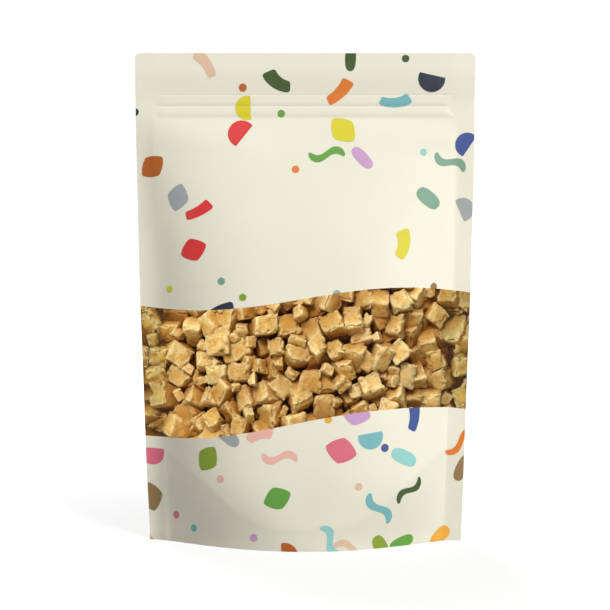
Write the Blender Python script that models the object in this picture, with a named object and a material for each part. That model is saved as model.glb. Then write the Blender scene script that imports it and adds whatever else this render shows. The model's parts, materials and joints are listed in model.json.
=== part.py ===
"""Stand-up pouch of caramel cubes: a filled doypack with a clear wavy band across its front.

The pouch stands on its gusseted base. Its front faces -Y, its width runs along X, and the origin
is the centre of the base. Laid flat the pouch is 160 x 230 mm; filling it draws its sides in.
All sizes are in metres.
"""

import math
import random

import bmesh
import bpy
from mathutils import Euler, Vector

MM = 0.001

# The pouch's outline, seen from the front.
HEIGHT = 230 * MM
FLAT_HALF_WIDTH = 80 * MM
DRAWN_IN = 6.2 * MM  # how much narrower each side is at the floor than at the top
DRAW_START = 190 * MM  # above this height the pouch is as wide as when it lies flat
DRAW_POWER = 1.2
SEAL_WIDTH = 8.5 * MM
SEAL_HALF_THICKNESS = 0.4 * MM
TOP_CORNER_RADIUS = 2.2 * MM

# Its depth, from the floor up to where the filling ends and the two films meet.
FLOOR_HALF_DEPTH = 25 * MM
BULGE_TOP = 200.2 * MM
BELLY_HALF_DEPTH = 1.5 * MM  # extra depth just above the welded skirt
BELLY_HEIGHT = 38 * MM
BELLY_SPREAD = 24 * MM
FLOOR_FULLNESS = 2.0  # powers of the cross-section: 2 is a parabola, more is flatter in the middle
BODY_FULLNESS = 3.0
TOP_FULLNESS = 4.0
FLOOR_NARROWING = 0.15  # narrows the cross-section at the floor a little
BODY_START = 35 * MM  # where the floor's cross-section has changed into the body's
TOP_START = 90 * MM  # between these heights the body's changes into the top's
TOP_END = 180 * MM

# The zip shows as two broad low ribs, one above the other, across both faces just above the bulge.
ZIP_RIBS = 2
ZIP_RIB_HEIGHT = 5.2 * MM
ZIP_RIB_PROUD = 0.7 * MM

# The base: a welded rim, a groove behind it and a flat pad where the filling presses the film down.
RIM_THICKNESS = 1.1 * MM
GROOVE_WALL = 0.7 * MM
GROOVE_HEIGHT = 3.5 * MM
NARROW_DEPTH = 7 * MM  # where the base is narrower than this, the groove narrows with it
PAD_DEPTH_SHARE = 0.6
PAD_WIDTH_SHARE = 0.7
CORNER_LIFT = 5 * MM  # how high the gusset film rises between the pad's ends and the side seals

# The clear band: two shallow waves for its edges.
UPPER_EDGE_HEIGHT = 114.4 * MM
UPPER_WAVE = 5.3 * MM
UPPER_WAVE_CENTRE = -0.7 * MM
UPPER_HALF_WAVE = 97.9 * MM
LOWER_EDGE_HEIGHT = 56.8 * MM
LOWER_WAVE = 7.4 * MM
LOWER_WAVE_CENTRE = -9.4 * MM
LOWER_HALF_WAVE = 115.5 * MM
BAND_END_MARGIN = 2.5 * MM  # from the side seals to the ends of the clear film
POCKET_FLOOR_SHARE = 0.25  # the pocket's floor, as a share of the front's depth
FILM_THICKNESS = 0.4 * MM
GAP = 0.3 * MM
CUTTER_REACH = 4 * MM

# The caramel cubes, and the bare core that they are fused to.
CUBE_SIZE_LEAST = 8.8 * MM
CUBE_SIZE_MOST = 10.8 * MM
CUBE_SPACING_X = 10.4 * MM
CUBE_SPACING_Z = 9.3 * MM
CUBE_JITTER = 1.7 * MM
CUBE_OVERHANG = 4.5 * MM  # how far past the band's wavy edges the centre of a trimmed cube may lie
CUBE_CORNER_JITTER = 0.8 * MM
CUBE_CHIP = 3.0 * MM
CUBE_DEPTH_SPREAD = 2.2 * MM
CUBE_TILT = math.radians(38)  # the most that a cube leans away from lying flat against the film
CORE_FRONT_SHARE = 0.42
CUBE_ROOM_SHARE = 0.6  # share of the front's depth that a cube may take before it is flattened
SEED = 7

# How finely the surfaces are divided.
COLUMNS = 20
BODY_ROWS = 20
ZIP_RIB_ROWS = 4
CORNER_ROWS = 3
BAND_COLUMNS = 24
BAND_ROWS = 6

CREAM = (0.86, 0.82, 0.72, 1.0)
CARAMEL = (0.68, 0.42, 0.16, 1.0)
CLEAR = (0.95, 0.95, 0.93, 0.3)


def clear_scene():
    for scene_object in list(bpy.data.objects):
        bpy.data.objects.remove(scene_object, do_unlink=True)


def new_collection(name, hidden=False):
    collection = bpy.data.collections.new(name)
    bpy.context.scene.collection.children.link(collection)
    collection.hide_render = hidden
    return collection


def material(name, color, roughness, transmission=0.0):
    made = bpy.data.materials.new(name)
    made.use_nodes = True
    shader = made.node_tree.nodes["Principled BSDF"]
    shader.inputs["Base Color"].default_value = color
    shader.inputs["Roughness"].default_value = roughness
    shader.inputs["Metallic"].default_value = 0.0
    shader.inputs["Transmission Weight"].default_value = transmission
    made.diffuse_color = color
    return made


def mesh_object(name, body, collection):
    """A new object from a bmesh, with its faces turned outwards."""
    bmesh.ops.recalc_face_normals(body, faces=body.faces)
    mesh = bpy.data.meshes.new(name)
    body.to_mesh(mesh)
    body.free()
    made = bpy.data.objects.new(name, mesh)
    collection.objects.link(made)
    return made


def apply_boolean(target, operation, cutter=None, collection=None):
    """Cuts or joins the target for good with one object, or with all those of a collection."""
    modifier = target.modifiers.new(operation.lower(), "BOOLEAN")
    modifier.operation = operation
    modifier.solver = "EXACT"
    if collection is None:
        modifier.object = cutter
    else:
        modifier.operand_type = "COLLECTION"
        modifier.collection = collection
    bpy.context.view_layer.update()
    evaluated = target.evaluated_get(bpy.context.evaluated_depsgraph_get())
    result = bpy.data.meshes.new_from_object(evaluated)
    target.modifiers.clear()
    target.data = result


def keep_largest_shell(target):
    """Fills the hollows that fusing sealed and drops loose scraps: each is a shell of its own."""
    body = bmesh.new()
    body.from_mesh(target.data)
    unseen = set(body.verts)
    shells = []
    while unseen:
        waiting = [unseen.pop()]
        shell = []
        while waiting:
            vertex = waiting.pop()
            shell.append(vertex)
            neighbours = {edge.other_vert(vertex) for edge in vertex.link_edges} & unseen
            unseen -= neighbours
            waiting += neighbours
        shells.append(shell)
    largest = max(shells, key=len)
    for shell in shells:
        if shell is not largest:
            bmesh.ops.delete(body, geom=shell, context="VERTS")
    body.to_mesh(target.data)
    body.free()


# The form of the pouch.


def half_width(z):
    """Half the width over the side seals, without the rounding of the top corners."""
    drawn = max(0.0, DRAW_START - z) / DRAW_START
    return FLAT_HALF_WIDTH - DRAWN_IN * drawn**DRAW_POWER


def body_half_width(z):
    """Half the width between the side seals."""
    return half_width(z) - SEAL_WIDTH


def top_corner_cut(z):
    """How far the rounding of a top corner moves the edge inwards."""
    rise = z - (HEIGHT - TOP_CORNER_RADIUS)
    if rise <= 0:
        return 0.0
    rise = min(rise, TOP_CORNER_RADIUS)
    return TOP_CORNER_RADIUS - math.sqrt(max(0.0, TOP_CORNER_RADIUS**2 - rise**2))


def centre_half_depth(z):
    """Half the depth of the filling on the pouch's centre line."""
    if z >= BULGE_TOP:
        return 0.0
    height = z / BULGE_TOP
    belly = BELLY_HALF_DEPTH * math.exp(-(((z - BELLY_HEIGHT) / BELLY_SPREAD) ** 2))
    return FLOOR_HALF_DEPTH * (1 - height**2) + belly * (1 - height)


def smooth_step(low, high, value):
    t = min(1.0, max(0.0, (value - low) / (high - low)))
    return t * t * (3 - 2 * t)


def cross_section(across, z):
    """The bulge's share of its centre depth, from 1 at the centre line to 0 at the side seals."""
    body = smooth_step(0.0, BODY_START, z)
    top = smooth_step(TOP_START, TOP_END, z)
    fullness = FLOOR_FULLNESS + (BODY_FULLNESS - FLOOR_FULLNESS) * body
    fullness += (TOP_FULLNESS - BODY_FULLNESS) * top
    return (1 - across**fullness) ** (1 + FLOOR_NARROWING * (1 - body))


def zip_proud(z):
    """How far the zip's ribs stand out of the flat films at this height."""
    ribs_up = (z - BULGE_TOP) / ZIP_RIB_HEIGHT
    if not 0 < ribs_up < ZIP_RIBS:
        return 0.0
    from_middle = 2 * (ribs_up % 1) - 1
    return ZIP_RIB_PROUD * (1 - from_middle**2)


def half_depth(x, z):
    """How far the front lies ahead of the seals' plane at one point. The back mirrors it."""
    across = min(1.0, abs(x) / body_half_width(z))
    ribs = zip_proud(z) if across < 1 else 0.0
    return SEAL_HALF_THICKNESS + centre_half_depth(z) * cross_section(across, z) + ribs


def row_heights():
    """Heights of the rings that the walls are lofted through, from the floor to the top edge."""
    heights = [BULGE_TOP * row / BODY_ROWS for row in range(BODY_ROWS + 1)]
    for row in range(1, ZIP_RIBS * ZIP_RIB_ROWS + 1):
        heights.append(BULGE_TOP + ZIP_RIB_HEIGHT * row / ZIP_RIB_ROWS)
    for row in range(CORNER_ROWS + 1):
        turn = math.pi / 2 * row / CORNER_ROWS
        heights.append(HEIGHT - TOP_CORNER_RADIUS + TOP_CORNER_RADIUS * math.sin(turn))
    return heights


def front_line(z):
    """The front's points at one height, from the left edge over the bulge to the right edge."""
    edge = half_width(z) - top_corner_cut(z)
    inner = body_half_width(z)
    line = [(-edge, SEAL_HALF_THICKNESS)]
    for column in range(COLUMNS + 1):
        turn = math.pi * (column / COLUMNS - 0.5)
        x = inner * math.sin(turn)
        at_seal = column in (0, COLUMNS)
        line.append((x, SEAL_HALF_THICKNESS if at_seal else half_depth(x, z)))
    line.append((edge, SEAL_HALF_THICKNESS))
    return line


def base_heights(x, depth):
    """The underside's points behind one front point: (distance ahead of the centre line, height)."""
    across = abs(x) / body_half_width(0)
    lift = 0.0
    if across > PAD_WIDTH_SHARE:
        lift = CORNER_LIFT * math.sin(math.pi * (across - PAD_WIDTH_SHARE) / (1 - PAD_WIDTH_SHARE))
    narrow = min(1.0, depth / NARROW_DEPTH)
    rim = RIM_THICKNESS * narrow
    groove = rim + GROOVE_WALL * narrow
    groove_top = GROOVE_HEIGHT * narrow + lift
    pad = depth * PAD_DEPTH_SHARE
    slope = (depth - groove + pad) / 2
    return [
        (depth - rim, 0.0),
        (depth - groove, groove_top),
        (slope, lift + (groove_top - lift) / 2),
        (pad, lift),
        (0.0, lift),
    ]


def bridge(body, first, second):
    """Faces between two lines of vertices: strips between equal ones, a fan from a line of two."""
    if len(first) > len(second):
        first, second = second, first
    if len(first) == len(second):
        for step in range(len(first) - 1):
            body.faces.new((first[step], first[step + 1], second[step + 1], second[step]))
        return
    middle = len(second) // 2
    for step in range(len(second) - 1):
        near = first[0] if step < middle else first[1]
        body.faces.new((near, second[step], second[step + 1]))
    body.faces.new((first[0], second[middle], first[1]))


def add_underside(body, front_ring, back_ring):
    """Closes the floor end with the rim, the groove and the pad."""
    lines = []
    last = len(front_ring) - 1
    for index, (front, back) in enumerate(zip(front_ring, back_ring)):
        line = [front]
        if 1 < index < last - 1:
            stations = base_heights(front.co.x, -front.co.y)
            line += [body.verts.new((front.co.x, -ahead, up)) for ahead, up in stations]
            line += [body.verts.new((front.co.x, ahead, up)) for ahead, up in stations[-2::-1]]
        line.append(back)
        lines.append(line)
    for first, second in zip(lines, lines[1:]):
        bridge(body, first, second)


def make_pouch(collection):
    """The filled pouch as one closed body, before the pocket behind the clear band is cut."""
    body = bmesh.new()
    front_rings = []
    back_rings = []
    for z in row_heights():
        line = front_line(z)
        front_rings.append([body.verts.new((x, -depth, z)) for x, depth in line])
        back_rings.append([body.verts.new((x, depth, z)) for x, depth in line])
    for row in range(len(front_rings) - 1):
        bridge(body, front_rings[row], front_rings[row + 1])
        bridge(body, back_rings[row], back_rings[row + 1])
        for side in (0, -1):
            lower = (front_rings[row][side], back_rings[row][side])
            upper = (front_rings[row + 1][side], back_rings[row + 1][side])
            bridge(body, lower, upper)
    bridge(body, front_rings[-1], back_rings[-1])
    add_underside(body, front_rings[0], back_rings[0])
    bmesh.ops.triangulate(body, faces=body.faces)
    pouch = mesh_object("pouch", body, collection)
    pouch.data.materials.append(material("printed_film", CREAM, 0.55))
    pouch.data.shade_smooth()
    pouch.data.set_sharp_from_angle(angle=math.radians(35))
    return pouch


# The clear band and what fills it.


def upper_edge(x):
    return UPPER_EDGE_HEIGHT + UPPER_WAVE * math.sin(
        math.pi * (x - UPPER_WAVE_CENTRE) / UPPER_HALF_WAVE
    )


def lower_edge(x):
    return LOWER_EDGE_HEIGHT + LOWER_WAVE * math.sin(
        math.pi * (x - LOWER_WAVE_CENTRE) / LOWER_HALF_WAVE
    )


def band_point(along, up, inset):
    """x and z of a point of the band: along runs -1 to 1 between its ends, up 0 to 1 between its
    edges. The ends follow the side seals, so x and z settle together in a few steps."""
    z = (UPPER_EDGE_HEIGHT + LOWER_EDGE_HEIGHT) / 2
    for _ in range(4):
        x = along * (body_half_width(z) - BAND_END_MARGIN - inset)
        low = lower_edge(x) + inset
        high = upper_edge(x) - inset
        z = low + up * (high - low)
    return x, z


def band_block(name, collection, inset, front, rear):
    """A closed block in the shape of the band, between two depths that are functions of x and z."""
    body = bmesh.new()
    sheets = []
    for depth in (front, rear):
        sheet = []
        for column in range(BAND_COLUMNS + 1):
            along = math.sin(math.pi * (column / BAND_COLUMNS - 0.5))
            line = []
            for row in range(BAND_ROWS + 1):
                x, z = band_point(along, row / BAND_ROWS, inset)
                line.append(body.verts.new((x, -depth(x, z), z)))
            sheet.append(line)
        sheets.append(sheet)
        for first, second in zip(sheet, sheet[1:]):
            bridge(body, first, second)
    ahead, behind = sheets
    bridge(body, ahead[0], behind[0])
    bridge(body, ahead[-1], behind[-1])
    for edge in (0, -1):
        bridge(body, [line[edge] for line in ahead], [line[edge] for line in behind])
    bmesh.ops.triangulate(body, faces=body.faces)
    return mesh_object(name, body, collection)


def beyond_front(x, z):
    return half_depth(x, z) + CUTTER_REACH


def pocket_floor(x, z):
    return POCKET_FLOOR_SHARE * half_depth(x, z)


def cut_pocket(pouch, cutters):
    pocket = band_block("pocket_cutter", cutters, 0.0, beyond_front, pocket_floor)
    pocket.hide_render = True
    pocket.display_type = "WIRE"
    apply_boolean(pouch, "DIFFERENCE", cutter=pocket)


def make_window(collection):
    """The clear film, flush with the printed film round it."""
    window = band_block(
        "window_film",
        collection,
        GAP,
        half_depth,
        lambda x, z: half_depth(x, z) - FILM_THICKNESS,
    )
    window.data.materials.append(material("clear_film", CLEAR, 0.25, transmission=0.9))
    window.data.shade_smooth()
    return window


def cube_limit(x, z):
    """How far ahead a cube may reach behind the clear film."""
    return half_depth(x, z) - FILM_THICKNESS - GAP


def cube_corners(draw):
    """A rough cube about its own centre: eight uneven corners, one or two of them chipped off."""
    half = [draw.uniform(CUBE_SIZE_LEAST, CUBE_SIZE_MOST) / 2 for _ in range(3)]
    signs = [(sx, sy, sz) for sx in (-1, 1) for sy in (-1, 1) for sz in (-1, 1)]
    chipped = set(draw.sample(range(len(signs)), draw.choice((0, 1, 1, 2))))
    spin = Euler((0.0, draw.uniform(0, 2 * math.pi), 0.0))
    lean = Euler((draw.uniform(-1, 1) * CUBE_TILT, 0.0, draw.uniform(-1, 1) * CUBE_TILT))
    corners = []
    for index, sign in enumerate(signs):
        corner = Vector([s * h for s, h in zip(sign, half)])
        corner += Vector([draw.uniform(-1, 1) * CUBE_CORNER_JITTER / 2 for _ in range(3)])
        if index not in chipped:
            corners.append(corner)
            continue
        for axis in range(3):
            cut = corner.copy()
            cut[axis] -= sign[axis] * CUBE_CHIP * draw.uniform(0.6, 1.2)
            corners.append(cut)
    for corner in corners:
        corner.rotate(spin)
        corner.rotate(lean)
    return corners


def add_cube(draw, collection, x, z):
    """One cube against the back of the clear film, flattened where the pouch is thin."""
    depth = half_depth(x, z)
    flatten = min(1.0, CUBE_ROOM_SHARE * depth / CUBE_SIZE_LEAST)
    corners = cube_corners(draw)
    for corner in corners:
        corner.x += x
        corner.y = corner.y * flatten - depth
        corner.z += z
    too_far = max(-corner.y - cube_limit(corner.x, corner.z) for corner in corners)
    back = too_far + flatten * draw.uniform(0.0, CUBE_DEPTH_SPREAD)
    body = bmesh.new()
    for corner in corners:
        body.verts.new((corner.x, corner.y + back, corner.z))
    hull = bmesh.ops.convex_hull(body, input=body.verts)
    bmesh.ops.delete(body, geom=hull["geom_interior"], context="VERTS")
    mesh_object("cube", body, collection)


def cube_places(draw):
    """Rows of places across the band, every other row shifted, each place moved a little."""
    places = []
    lowest = LOWER_EDGE_HEIGHT - LOWER_WAVE - CUBE_OVERHANG
    highest = UPPER_EDGE_HEIGHT + UPPER_WAVE + CUBE_OVERHANG
    rows = int((highest - lowest) / CUBE_SPACING_Z)
    columns = int(2 * body_half_width(highest) / CUBE_SPACING_X)
    for row in range(rows + 1):
        for column in range(columns + 1):
            x = (column - columns / 2 + (row % 2) / 2 - 0.25) * CUBE_SPACING_X
            z = lowest + row * CUBE_SPACING_Z
            x += draw.uniform(-CUBE_JITTER, CUBE_JITTER)
            z += draw.uniform(-CUBE_JITTER, CUBE_JITTER)
            in_band = lower_edge(x) - CUBE_OVERHANG < z < upper_edge(x) + CUBE_OVERHANG
            if in_band and abs(x) < body_half_width(z) - BAND_END_MARGIN:
                places.append((x, z))
    return places


def make_cubes(collection, cutters):
    """The cubes that show, fused to a bare core, and trimmed to the pocket."""
    draw = random.Random(SEED)
    cubes = band_block(
        "caramel_cubes",
        collection,
        -CUTTER_REACH / 4,
        lambda x, z: CORE_FRONT_SHARE * half_depth(x, z),
        lambda x, z: pocket_floor(x, z) - CUTTER_REACH,
    )
    loose = new_collection("loose_cubes")
    for x, z in cube_places(draw):
        add_cube(draw, loose, x, z)
    apply_boolean(cubes, "UNION", collection=loose)
    for cube in list(loose.objects):
        bpy.data.objects.remove(cube, do_unlink=True)
    bpy.data.collections.remove(loose)
    room = band_block(
        "pocket_room",
        cutters,
        GAP,
        beyond_front,
        lambda x, z: pocket_floor(x, z) + GAP,
    )
    room.hide_render = True
    room.display_type = "WIRE"
    apply_boolean(cubes, "INTERSECT", cutter=room)
    keep_largest_shell(cubes)
    cubes.data.materials.clear()
    cubes.data.materials.append(material("caramel", CARAMEL, 0.6))
    return cubes


def main():
    clear_scene()
    parts = new_collection("caramel_cube_pouch")
    cutters = new_collection("cutters", hidden=True)
    pouch = make_pouch(parts)
    cut_pocket(pouch, cutters)
    make_cubes(parts, cutters)
    make_window(parts)


main()
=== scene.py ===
"""The looks of the stand-up pouch of caramel cubes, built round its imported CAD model.

The printed film and the clear band are thin sheets in the CAD's form with the creases, ribs and
soft dents of real film. The cubes behind the band are dropped into a flat tray by a rigid-body
simulation, shaped one by one as rough cut pieces, and laid behind the curved film. All lengths are
in metres, +Z is up and the front faces -Y.
"""

import itertools
import json
import math
from contextlib import contextmanager
from typing import NamedTuple

import bmesh
import bpy
import numpy as np
from mathutils import Euler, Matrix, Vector

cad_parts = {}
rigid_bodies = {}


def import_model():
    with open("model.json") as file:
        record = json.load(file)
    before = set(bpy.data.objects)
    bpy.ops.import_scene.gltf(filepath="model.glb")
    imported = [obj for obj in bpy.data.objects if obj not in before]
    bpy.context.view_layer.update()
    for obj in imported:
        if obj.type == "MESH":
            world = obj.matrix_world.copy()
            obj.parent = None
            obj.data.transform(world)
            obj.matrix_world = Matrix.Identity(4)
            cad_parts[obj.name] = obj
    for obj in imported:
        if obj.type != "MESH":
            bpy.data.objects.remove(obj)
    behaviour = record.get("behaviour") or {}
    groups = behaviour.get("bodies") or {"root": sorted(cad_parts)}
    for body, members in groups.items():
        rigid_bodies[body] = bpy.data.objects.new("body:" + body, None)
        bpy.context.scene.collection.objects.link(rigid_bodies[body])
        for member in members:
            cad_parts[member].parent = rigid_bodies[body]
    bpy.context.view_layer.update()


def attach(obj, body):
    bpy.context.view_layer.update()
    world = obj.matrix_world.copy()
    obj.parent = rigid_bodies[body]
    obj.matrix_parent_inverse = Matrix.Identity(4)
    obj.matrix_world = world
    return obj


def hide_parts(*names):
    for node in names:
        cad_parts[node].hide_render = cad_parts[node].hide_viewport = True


MM = 0.001
FRONT = -1
BACK = 1
TINY = 1e-9


class BandEdge(NamedTuple):
    """One edge of the clear band, with one long wave in it."""

    height: float
    wave: float
    centre: float
    half_length: float

    def at(self, x):
        return self.height + self.wave * np.sin(math.pi * (x - self.centre) / self.half_length)


# The form of the pouch, as in the CAD source.
HEIGHT = 230 * MM
FLAT_HALF_WIDTH = 80 * MM
DRAWN_IN = 6.2 * MM
DRAW_START = 190 * MM
DRAW_POWER = 1.2
SEAL_WIDTH = 8.5 * MM
TOP_CORNER_RADIUS = 2.2 * MM
FLOOR_HALF_DEPTH = 25 * MM
BULGE_TOP = 200.2 * MM
BELLY_HALF_DEPTH = 1.5 * MM
BELLY_HEIGHT = 38 * MM
BELLY_SPREAD = 24 * MM
BODY_START = 35 * MM
FLOOR_NARROWING = 0.15
ZIP_RIBS = 2
ZIP_RIB_HEIGHT = 5.2 * MM
UPPER_EDGE = BandEdge(114.4 * MM, 5.3 * MM, -0.7 * MM, 97.9 * MM)
LOWER_EDGE = BandEdge(56.8 * MM, 7.4 * MM, -9.4 * MM, 115.5 * MM)
CORNER_LIFT = 5 * MM
PAD_WIDTH_SHARE = 0.7
NARROW_DEPTH = 7 * MM

# What real film adds to that form.
# How full the cross-section is at the floor, in the body, high up and just under the zip, and the
# heights between which that changes. The last is the film's own: it bulges right out to the seals.
FULLNESS = (2.0, 3.0, 4.0, 9.0)
FULLNESS_SPANS = ((0.0, BODY_START), (90 * MM, 180 * MM), (182 * MM, 197 * MM))
SEAL_HALF_THICKNESS = 0.22 * MM
ZIP_RIB_PROUD = 0.23 * MM
ZIP_RIB_TILT = 0.6  # each rib is fuller towards its lower side
ZIP_GROOVE_DEPTH = 0.1 * MM
ZIP_GROOVE_REACH = 0.38 * MM
ZIP_END_TAPER = 5 * MM
TOP_LEAN = 1.8 * MM  # the top seal tips forward this far
TOP_LEAN_SPAN = (205 * MM, 223 * MM)
RIGHT_SEAL_SLOPE = 0.05  # the slope at which the right side seal is bent back
LEFT_SEAL_EDGE_SLOPE = 0.12
LEFT_SEAL_SLOPES = (0.68, 0.42)  # the left one's beside the body, low on the pouch and high up
LEFT_SEAL_HEIGHTS = (50 * MM, 110 * MM)
SEAL_TURN_SPAN = (212 * MM, 180 * MM)
LEFT_BLEND = 13 * MM  # how far in from the left seal the body's face is eased to the same slope
CREASE_SOFTNESS = 2 * MM
SEAL_RIPPLE = 0.35 * MM
SEAL_RIPPLE_LENGTH = 74 * MM
SEAL_RIPPLE_PHASES = (0.4, 1.9)  # of the left seal and of the right
SEAL_RIPPLE_FADE = 20 * MM
FILM_SEED = 3
BROAD_DENT = 0.3 * MM
BROAD_DENT_SIZE = 38 * MM
FINE_DENT = 0.05 * MM
FINE_DENT_SIZE = 12 * MM
FINE_DENT_SHIFT = 9
DENT_SHIFT = 0.5  # keeps the dents of the two faces apart
DENT_FADE = 12 * MM
WELD_MIDDLE_HEIGHT = 10 * MM  # the curved weld of the base, seen through both faces
WELD_RISE = 36 * MM
WELD_FLAT_HALF_WIDTH = 11 * MM
WELD_TURN = math.radians(1.32) / MM
WELD_STEP = 0.14 * MM
WELD_RIDGE = 0.07 * MM
WELD_BLEND = 1.3 * MM
CRUSH_X = 71 * MM  # a small crushed spot at the right end of the zip
CRUSH_Z = 205 * MM
CRUSH_RADIUS = 3 * MM
CRUSH_DEPTH = 0.6 * MM
CRUSH_FADE = 4 * MM
SKIRT_THICKNESS = 0.6 * MM
GROOVE_HEIGHT = 3.2 * MM
GROOVE_SHARE = 0.4
GROOVE_POWER = 0.7
CORNER_LIFT_SHARE = 0.3
SHARP_EDGE = math.radians(38)

# How finely the film is divided.
BODY_COLUMNS = 112
SEAL_COLUMNS = 5
LOWER_ROWS = 44
BAND_ROWS = 44
UPPER_ROWS = 48
STRAIGHT_START = 188 * MM
STRAIGHT_ROWS = 8
ZIP_RIB_ROWS = 16
ZIP_GROOVE_ROWS = 5
ZIP_GROOVE_SPAN = 1.0 * MM
TOP_ROWS = 14
CORNER_ROWS = 6
SKIRT_ROWS = 22
GRID_ROUNDS = 8
GRID_START = 100 * MM
GIRTH_STEP = 2.5 * MM
GIRTH_SAMPLES = 800
NORMAL_REACH = 0.5 * MM
WELD_DISTANCE = 0.004 * MM

# The cubes' sizes, and the simulation that settles them. It runs at 100 times the real size, where
# its tolerances are small, and the tray's and the drop's heights are given at that size.
SEED = 11
LOOSE_COUNT = 200
CUBE_LEAST = 8.2 * MM
CUBE_MOST = 11.2 * MM
LONG_SHARE = 0.15
LONG_STRETCH = 1.28
SMALL_SHARE = 0.10
SMALL_SHRINK = 0.68
SIM_SCALE = 100.0
TRAY_HALF_WIDTH = 87 * MM
TRAY_LOW = 39 * MM
TRAY_HIGH = 130 * MM
TRAY_HALF_HEIGHT = (TRAY_HIGH - TRAY_LOW) / 2
TRAY_WALL = 8 * MM
TRAY_TALL = 14.0
BED_PITCH = 10.2 * MM  # the lowest cubes lie fixed, each tilted, so that no others lie flat
BED_JITTER = 2.5 * MM
BED_TILT = 0.6
DROP_COLUMNS = 12
DROP_ROWS = 6
DROP_JITTERS = (0.2, 0.15)
DROP_HEIGHT = 2.2
DROP_PITCH = 1.9
FRICTION = 0.5
COLLISION_MARGIN = 0.01
SETTLE_SUBSTEPS = 5
SETTLE_ITERATIONS = 14
SETTLE_FRAMES = 110
SETTLE_GRAVITY = 30.0
SHAKE = 14.0
SHAKE_FRAMES = 70
SHAKE_TURN = 1.3
SHAKE_CROSS = 0.7
SIGHT_STEP = 0.8 * MM
LEVEL_RADIUS = 15 * MM
FILM_PERCENTILE = 93

# How the cubes lie behind the film.
FILM_TO_CUBES = 0.25 * MM
FILM_SHARE = 0.2  # where the pouch is thin, the gap to the film is this share of its depth
FILM_CLEARANCE = 0.08 * MM
CUBE_ROOM = 16 * MM  # where the pouch is thinner than this, the cubes are flattened to fit
ROOM_SHARE = 0.9
HIDDEN_SHARE = 0.9
CREASE_ROOM = 0.2
CREASE_OFFSET = 0.8 * MM
CREASE_REACH = 2.2 * MM
SLANT_ABOVE = 2 * MM
SLANT_BELOW = 7 * MM
EDGE_GAP = 0.15 * MM
DEEP_REACH = 20 * MM
FLAT_LIGHT = (-0.5, 0.5, 0.7)  # the direction of the painted light on the flattened cubes, and of the painted shade on all: across, up and outwards
FLAT_SHADE = 0.58
FLAT_SHADE_TURNS = (0.15, 0.85)  # how far a face is turned from the painted light where its painted shade starts and ends
FLAT_GAP_DEPTHS = (3.5 * MM, 10.5 * MM)  # how deep the painted shade in the gaps starts and is darkest
FLAT_SHADE_WARMTH = 0.36  # painted: a deeper, warmer colour in place of the light that full cubes throw on each other
SHADE_WARMTH_SIDES = 0.65  # painted shade: how much deeper the colour is on faces turned from the light, and low down
SHADE_WARMTH_DEPTHS = (2 * MM, 10 * MM)
SHADE_WARMTH_DEEP = 0.6

# The shape of a cube. Pairs are the least and the most.
CUBE_SEED = 5
CELL_COUNTS = (17, 12, 6)  # rows of faces along a cube's edge, if it shows much, a little or not
SIGHT_MUCH = 40
SIGHT_LEAST = 5
EDGE_CROWDING = 0.45
CORNER_JITTER = 0.10
CUBE_ROUNDING = (0.6 * MM, 1.4 * MM)
EDGE_REACH = 1.3 * MM  # how far from an edge of a cube its wear reaches
RIM_REACH = 2.8 * MM
LEDGE_STEP = (0.7 * MM, 1.5 * MM)
LEDGE_START = (-0.2, 0.4)
LEDGE_BLEND = 0.5 * MM
CHIP_WAYS = (0.15, 1.0)  # each part of a chip's direction is small or full, at these odds
CHIP_ODDS = (0.3, 0.7)
CHIP_LEAN = 0.2
CHIP_ROUGHNESS = 0.45 * MM
CHIP_BLEND = 0.3 * MM
BITE_RADIUS = (1.5 * MM, 2.8 * MM)
BITE_EDGE = 0.7
BITE_LEAN = 0.3
BITE_ROUGHNESS = 0.3
BITE_SINK = 0.35
PIT_RADIUS = (0.7 * MM, 1.5 * MM)
PIT_DEPTH = (0.6, 1.1)
PIT_FRACTURE = 0.8
NIBBLE_LAYERS = ((1.3, 1.8 * MM, 5), (0.6, 0.9 * MM, 7))  # strength, size and shift of the noise
NIBBLE_FULL = 1.1
NIBBLE_PALE = 0.4
FACE_RELIEF = (0.48 * MM, 3.3 * MM, 11)
ROUGH_RELIEF = (0.19 * MM, 1.4 * MM, 17)
NOISE_OFFSETS = (0, 30)  # where in the noise each cube lies
TINY_AREA = 1e-12


class CubeKind(NamedTuple):
    """How rough the cubes of one kind are. The pairs are the least and the most."""

    chips: tuple
    chip_depth: tuple
    nibble: float
    bites: tuple
    pits: tuple
    ledge_chance: float


CUBE_KINDS = {
    "cubes_plain": CubeKind((0, 1), (0.6 * MM, 1.2 * MM), 2.0 * MM, (0, 0), (0, 1), 0.1),
    "cubes_worn": CubeKind((0, 1), (0.8 * MM, 1.6 * MM), 2.9 * MM, (0, 1), (0, 2), 0.25),
    "cubes_chipped": CubeKind((1, 2), (1.0 * MM, 2.2 * MM), 2.5 * MM, (0, 2), (0, 2), 0.35),
    "cubes_broken": CubeKind((0, 2), (1.0 * MM, 2.2 * MM), 2.8 * MM, (1, 4), (1, 4), 0.55),
    "cube_bits": CubeKind((0, 2), (1.0 * MM, 2.0 * MM), 2.0 * MM, (0, 2), (0, 1), 0.3),
}
BITS = "cube_bits"


class Filling(NamedTuple):
    """Pieces that fill the hollows between the settled cubes. The pairs are least and most."""

    most: int
    hollow: float
    depth: float
    sunk: tuple
    edge: tuple


CUBE_FILLING = Filling(70, 5.2 * MM, 10.0 * MM, (7.5 * MM, 9.5 * MM), (CUBE_LEAST, CUBE_MOST))
BIT_FILLING = Filling(60, 2.8 * MM, 6.8 * MM, (5.5 * MM, 7.0 * MM), (3.6 * MM, 6.6 * MM))

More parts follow.
